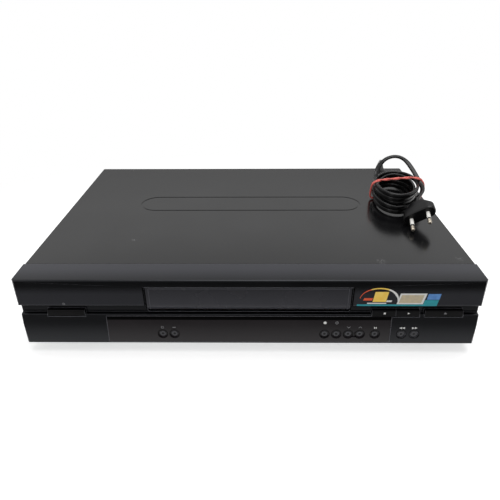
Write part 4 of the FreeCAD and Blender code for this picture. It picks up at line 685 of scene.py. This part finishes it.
def arcBand(x, z, radii, angles, wide, count=18):
    # a strip along part of an oval, its width going from the first to the second
    outer, inner = [], []
    for k in range(count + 1):
        share = k / count
        angle = math.radians(angles[0] + (angles[1] - angles[0]) * share)
        full = wide[0] + (wide[1] - wide[0]) * share
        outer.append((x + radii[0] * math.cos(angle), z + radii[1] * math.sin(angle)))
        inner.append((x + (radii[0] - full) * math.cos(angle), z + (radii[1] - full) * math.sin(angle)))
    return outer + inner[::-1]


def ringBand(x, z, radius, wide, turn=358, count=18):
    # a ring of even width that stays open by a hair
    return arcBand(x, z, (radius, radius), (0, turn), (wide, wide), count)


def wedge(x, z, half, point):
    # a triangle beside x that points right, or left where the point is negative
    return [(x, z - half), (x + point, z), (x, z + half)]


labelOval = (119.7, 63, (17.7, 12.4))  # middle and reach of the oval that the label's arcs follow
buttonMiddles = (-82.3, -71.1, 72.4, 83.6, 94.9, 105.9, 120.2, 145.3, 157.5)

# each piece: its face, its finish, its thickness in mm, and its outlines
marks = {
    "windowMarks": ("window", "whiteInk", 0.1, [
        disc(72.4, 34.2, 1.5), block(119.0, 119.9, 27.9, 29.7), block(120.5, 121.4, 27.9, 29.7),
        wedge(145.4, 28.6, 1.15, -2.5), wedge(148.1, 28.6, 1.15, -2.5), wedge(154.8, 28.6, 1.15, 2.5),
        wedge(157.5, 28.6, 1.15, 2.5),
    ]),
    "windowThinMarks": ("window", "dimInk", 0.1, [
        ringBand(83.6, 34.2, 1.5, 0.4, 350), block(83.4, 83.8, 34.2, 35.3),
        [(93.4, 29.7), (94.9, 28.3), (96.4, 29.7), (96.4, 30.2), (94.9, 28.9), (93.4, 30.2)],
        [(104.4, 28.3), (105.9, 29.7), (107.4, 28.3), (107.4, 28.8), (105.9, 30.2), (104.4, 28.8)],
        ringBand(-82.3, 28.9, 1.3, 0.35, 350), block(-72.6, -69.6, 28.6, 29.1),
    ]),
    "visorMark": ("visor", "dimInk", 0.1, [
        arcBand(-171.6, 56.7, (1.25, 1.25), (-235, 55), (0.35, 0.35)), block(-171.8, -171.4, 56.9, 58.1),
    ]),
    "stopMark": ("stop", "whiteInk", 0.1, [block(126.6, 128.4, 43.7, 45.7)]),
    "playMark": ("play", "whiteInk", 0.1, [wedge(148.9, 44.7, 1.1, 2.1)]),
    "ejectMark": ("eject", "dimInk", 0.1, [
        [(182.4, 44.7), (185.2, 44.7), (183.8, 46.0)], block(182.4, 185.2, 43.9, 44.3),
    ]),
    # black strips of painted shade in the gap beside the door, pale strips of painted highlight inside the
    # door's outline
    "gapBesideDoor": ("visor", "paintedShade", 0.08, [
        block(-96.6, -95.45, 54.6, 75.9), block(95.45, 96.6, 54.6, 75.9),
    ]),
    "gapOnDoor": ("door", "paintedShade", 0.08, [block(-94.95, -94.1, 50, 75.1), block(94.1, 94.95, 50, 75.1)]),
    "doorLines": ("door", "paintedHighlightAbs", 0.08, [
        block(-91.6, -91.0, 51, 74.2), block(91.4, 92.0, 51, 74.2), block(-94, 94, 53.2, 53.9),
        block(-91.6, 92.0, 73.6, 74.2),
    ]),
    # the shadow round each round button, and along the window's top edge
    "buttonShades": ("window", "paintedShade", 0.06, [ringBand(x, 21.5, 4.95, 0.7) for x in buttonMiddles]),
    # coloured collars of the audio sockets on the back
    "leftSocketCollars": ("rear", "whiteCollar", 1.3, [ringBand(x, 42, 6.0, 1.7, 359, 30) for x in (46, 66)]),
    "rightSocketCollars": ("rear", "redCollar", 1.3, [ringBand(x, 25, 6.0, 1.7, 359, 30) for x in (46, 66)]),
    "windowTopShade": ("window", "paintedShade", 0.08, [block(-134.4, 134.4, 37.2, 40.9)]),
    "labelPale": ("visor", "whiteInk", 0.1, [
        block(136.2, 160.2, 57.0, 69.2, 2.4), arcBand(*labelOval, (62, 20), (1.5, 2.2)),
        arcBand(*labelOval, (20, -10), (2.2, 0.5)), block(109.1, 126.7, 57.3, 58.6),
        block(126.4, 131.2, 59.4, 61.4, 0.5),
    ]),
    "labelCream": ("visor", "inkCream", 0.14, [block(138.0, 158.4, 58.4, 67.4, 1.8)]),
    "labelRed": ("visor", "inkRed", 0.1, [
        arcBand(*labelOval, (178, 118), (0.5, 1.1)), block(105.2, 113.2, 61.2, 63.9, 0.8),
    ]),
    "labelYellow": ("visor", "inkYellow", 0.1, [
        block(113.9, 126.2, 59.6, 71.0, 1.6), arcBand(*labelOval, (118, 62), (1.1, 1.5)),
    ]),
    "labelBlue": ("visor", "inkBlue", 0.1, [block(163.0, 174.4, 62.2, 68.7, 0.8)]),
    "labelTeal": ("visor", "inkTeal", 0.1, [
        block(160.6, 173.4, 56.7, 61.7, 0.8), block(99.8, 173.2, 54.9, 56.7, 0.2),
    ]),
}


def addMark(name, face, finish, thick, outlines):
    depth, leanDegrees, body = faces[face]
    lean = math.radians(leanDegrees)
    side = 1 if depth < 0 else -1  # the back is seen from the other side
    films = []
    for outline in outlines:
        bpy.ops.object.select_all(action="DESELECT")
        bpy.ops.mesh.primitive_circle_add(vertices=len(outline), radius=1, fill_type="NGON")
        film = bpy.context.object
        for vertex, (x, z) in zip(film.data.vertices, outline):
            vertex.co = (side * x * mm, z / math.cos(lean) * mm, -filmSunk * mm)
        bpy.ops.object.mode_set(mode="EDIT")
        bpy.ops.mesh.select_all(action="SELECT")
        bpy.ops.mesh.extrude_region_move(TRANSFORM_OT_translate={"value": (0, 0, thick * mm)})
        bpy.ops.mesh.select_all(action="SELECT")
        bpy.ops.mesh.normals_make_consistent(inside=False)
        bpy.ops.object.mode_set(mode="OBJECT")
        films.append(film)
    piece = joinPieces(films)
    piece.name = name
    piece.rotation_euler = (math.pi / 2 - lean, 0, 0 if side > 0 else math.pi)
    piece.location = (0, depth * mm, 0)
    bpy.ops.object.transform_apply(location=True, rotation=True, scale=True)
    dress(piece, finish)
    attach(piece, body)


for name, mark in marks.items():
    addMark(name, *mark)

# A paler ring of painted sheen in the middle of every round button
dishSheenRing = {"radius": 2.8, "wide": 1.5, "thick": 0.1}
for name in roundButtons:
    low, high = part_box(name)
    faces[name] = (low[1] / mm, 0, name)
    x, z = ((low[k] + high[k]) / 2 / mm for k in (0, 2))
    addMark(name.replace("_button", "_dish"), name, "paintedDishSheen", dishSheenRing["thick"],
            [ringBand(x, z, dishSheenRing["radius"], dishSheenRing["wide"])])
log("%d marks and %d dishes added" % (len(marks), len(roundButtons)))

# Floor, room and lamps, in metres
paperSweep = {
    "size": (7, 5),
    "middle": (0, 2.2, -0.0002),
    "colour": "#f4f4f4",
    "glow": 0.45,
    "reach": (0.3, 0.24),  # half axes of the oval in which the paper is seen as it is
    "fadeEnd": 1.9,  # it has faded to plain white at this many times the oval
    "frontEdge": -0.1435,
    "mirrorReach": 0.2,
    # how bright mirrors see the floor, at shares of mirrorReach before the front: two pale zones, then dark
    "mirror": [(0, 1.0), (0.13, 1.0), (0.24, 0.52), (0.29, 0.22), (0.34, 0.2), (0.38, 0.32), (0.43, 0.3),
               (0.47, 0.08), (1, 0.05)],
}
room = {
    "light": 0.45,
    # how bright mirrors see the walls, by the sine of the height
    "mirror": [(0, 0.32), (0.31, 0.33), (0.454, 0.98), (0.6, 0.68), (1, 0.8)],
}


def addStage(settings):
    bpy.ops.object.select_all(action="DESELECT")
    bpy.ops.mesh.primitive_plane_add(size=1, location=settings["middle"])
    floor = bpy.context.object
    floor.name = "paleFloor"
    floor.scale = (*settings["size"], 1)
    bpy.ops.object.transform_apply(location=True, rotation=True, scale=True)
    # white paper: it fades to plain white away from the object, and mirrors show it dark far in front
    material, tree, place = newMaterial("whitePaperSweep")
    path = addNode(tree, "ShaderNodeLightPath")
    paper = addNode(tree, "ShaderNodeBsdfDiffuse", {"Color": linear(settings["colour"])})
    glow = addNode(tree, "ShaderNodeEmission", {"Color": (1, 1, 1, 1), "Strength": settings["glow"]})
    near = addNode(tree, "ShaderNodeAddShader", {}, {0: paper.outputs[0], 1: glow.outputs[0]})
    white = addNode(tree, "ShaderNodeEmission", {"Color": (1, 1, 1, 1), "Strength": 1.0})
    shrunk = addNode(tree, "ShaderNodeMapping", {"Scale": (*(1 / half for half in settings["reach"]), 1)},
                     {"Vector": place})
    away = addNode(tree, "ShaderNodeVectorMath", {"operation": "LENGTH"}, {0: shrunk.outputs["Vector"]})
    fade = addNode(tree, "ShaderNodeMapRange",
                   {"From Min": 1.0, "From Max": settings["fadeEnd"], "interpolation_type": "SMOOTHSTEP"},
                   {"Value": away.outputs["Value"]})
    seen = addNode(tree, "ShaderNodeMixShader", {},
                   {0: fade.outputs["Result"], 1: near.outputs[0], 2: white.outputs[0]})
    parts = addNode(tree, "ShaderNodeSeparateXYZ", {}, {"Vector": place})
    mirrorEnd = settings["frontEdge"] - settings["mirrorReach"]
    front = addNode(tree, "ShaderNodeMapRange", {"From Min": settings["frontEdge"], "From Max": mirrorEnd},
                    {"Value": parts.outputs["Y"]})
    zones = addNode(tree, "ShaderNodeValToRGB", {"stops": settings["mirror"]},
                    {"Fac": front.outputs["Result"]})
    mirrored = addNode(tree, "ShaderNodeEmission", {"Strength": 1.0}, {"Color": zones.outputs["Color"]})
    glossy = addNode(tree, "ShaderNodeMixShader", {},
                     {0: path.outputs["Is Glossy Ray"], 1: paper.outputs[0], 2: mirrored.outputs[0]})
    mix = addNode(tree, "ShaderNodeMixShader", {},
                  {0: path.outputs["Is Camera Ray"], 1: glossy.outputs[0], 2: seen.outputs[0]})
    addNode(tree, "ShaderNodeOutputMaterial", {}, {"Surface": mix.outputs[0]})
    floor.data.materials.append(material)


def addWorld(settings):
    # cameras see white, mirrors see the walls, and all else is lit by the room's plain light
    world = bpy.data.worlds.new("paleStudio")
    bpy.context.scene.world = world
    world.use_nodes = True
    tree = world.node_tree
    tree.nodes.clear()
    path = addNode(tree, "ShaderNodeLightPath")
    seen = addNode(tree, "ShaderNodeMath", {"operation": "MAXIMUM"},
                   {0: path.outputs["Is Camera Ray"], 1: path.outputs["Is Glossy Ray"]})
    clear = addNode(tree, "ShaderNodeMath", {"operation": "MAXIMUM"},
                    {0: seen.outputs[0], 1: path.outputs["Is Transmission Ray"]})
    light = addNode(tree, "ShaderNodeBackground", {"Color": (1, 1, 1, 1), "Strength": settings["light"]})
    direction = addNode(tree, "ShaderNodeTexCoord")
    parts = addNode(tree, "ShaderNodeSeparateXYZ", {}, {"Vector": direction.outputs["Generated"]})
    walls = addNode(tree, "ShaderNodeValToRGB", {"stops": settings["mirror"]}, {"Fac": parts.outputs["Z"]})
    wall = addNode(tree, "ShaderNodeMix", {"data_type": "RGBA", mixA: (1, 1, 1, 1)},
                   {0: path.outputs["Is Glossy Ray"], mixB: walls.outputs["Color"]})
    shown = addNode(tree, "ShaderNodeBackground", {"Strength": 1.0}, {"Color": wall.outputs[mixResult]})
    mix = addNode(tree, "ShaderNodeMixShader", {},
                  {0: clear.outputs[0], 1: light.outputs[0], 2: shown.outputs[0]})
    addNode(tree, "ShaderNodeOutputWorld", {}, {"Surface": mix.outputs[0]})


lamps = {
    "topSoftbox": {"place": (0.15, 0.1, 1.5), "aim": (0, 0, 0.05), "size": 1.3, "watts": 14},
    "leftFill": {"place": (-1.3, -0.9, 0.9), "aim": (0, 0, 0.05), "size": 0.9, "watts": 5},
}


def addLamp(name, settings):
    data = bpy.data.lights.new(name, "AREA")
    data.size = settings["size"]
    data.energy = settings["watts"]
    lamp = bpy.data.objects.new(name, data)
    bpy.context.scene.collection.objects.link(lamp)
    lamp.location = settings["place"]
    lamp.rotation_euler = (Vector(settings["aim"]) - lamp.location).to_track_quat("-Z", "Y").to_euler()


addStage(paperSweep)
addWorld(room)
for name, settings in lamps.items():
    addLamp(name, settings)
bpy.context.scene.view_settings.view_transform = "Standard"
log("stage and lamps set")
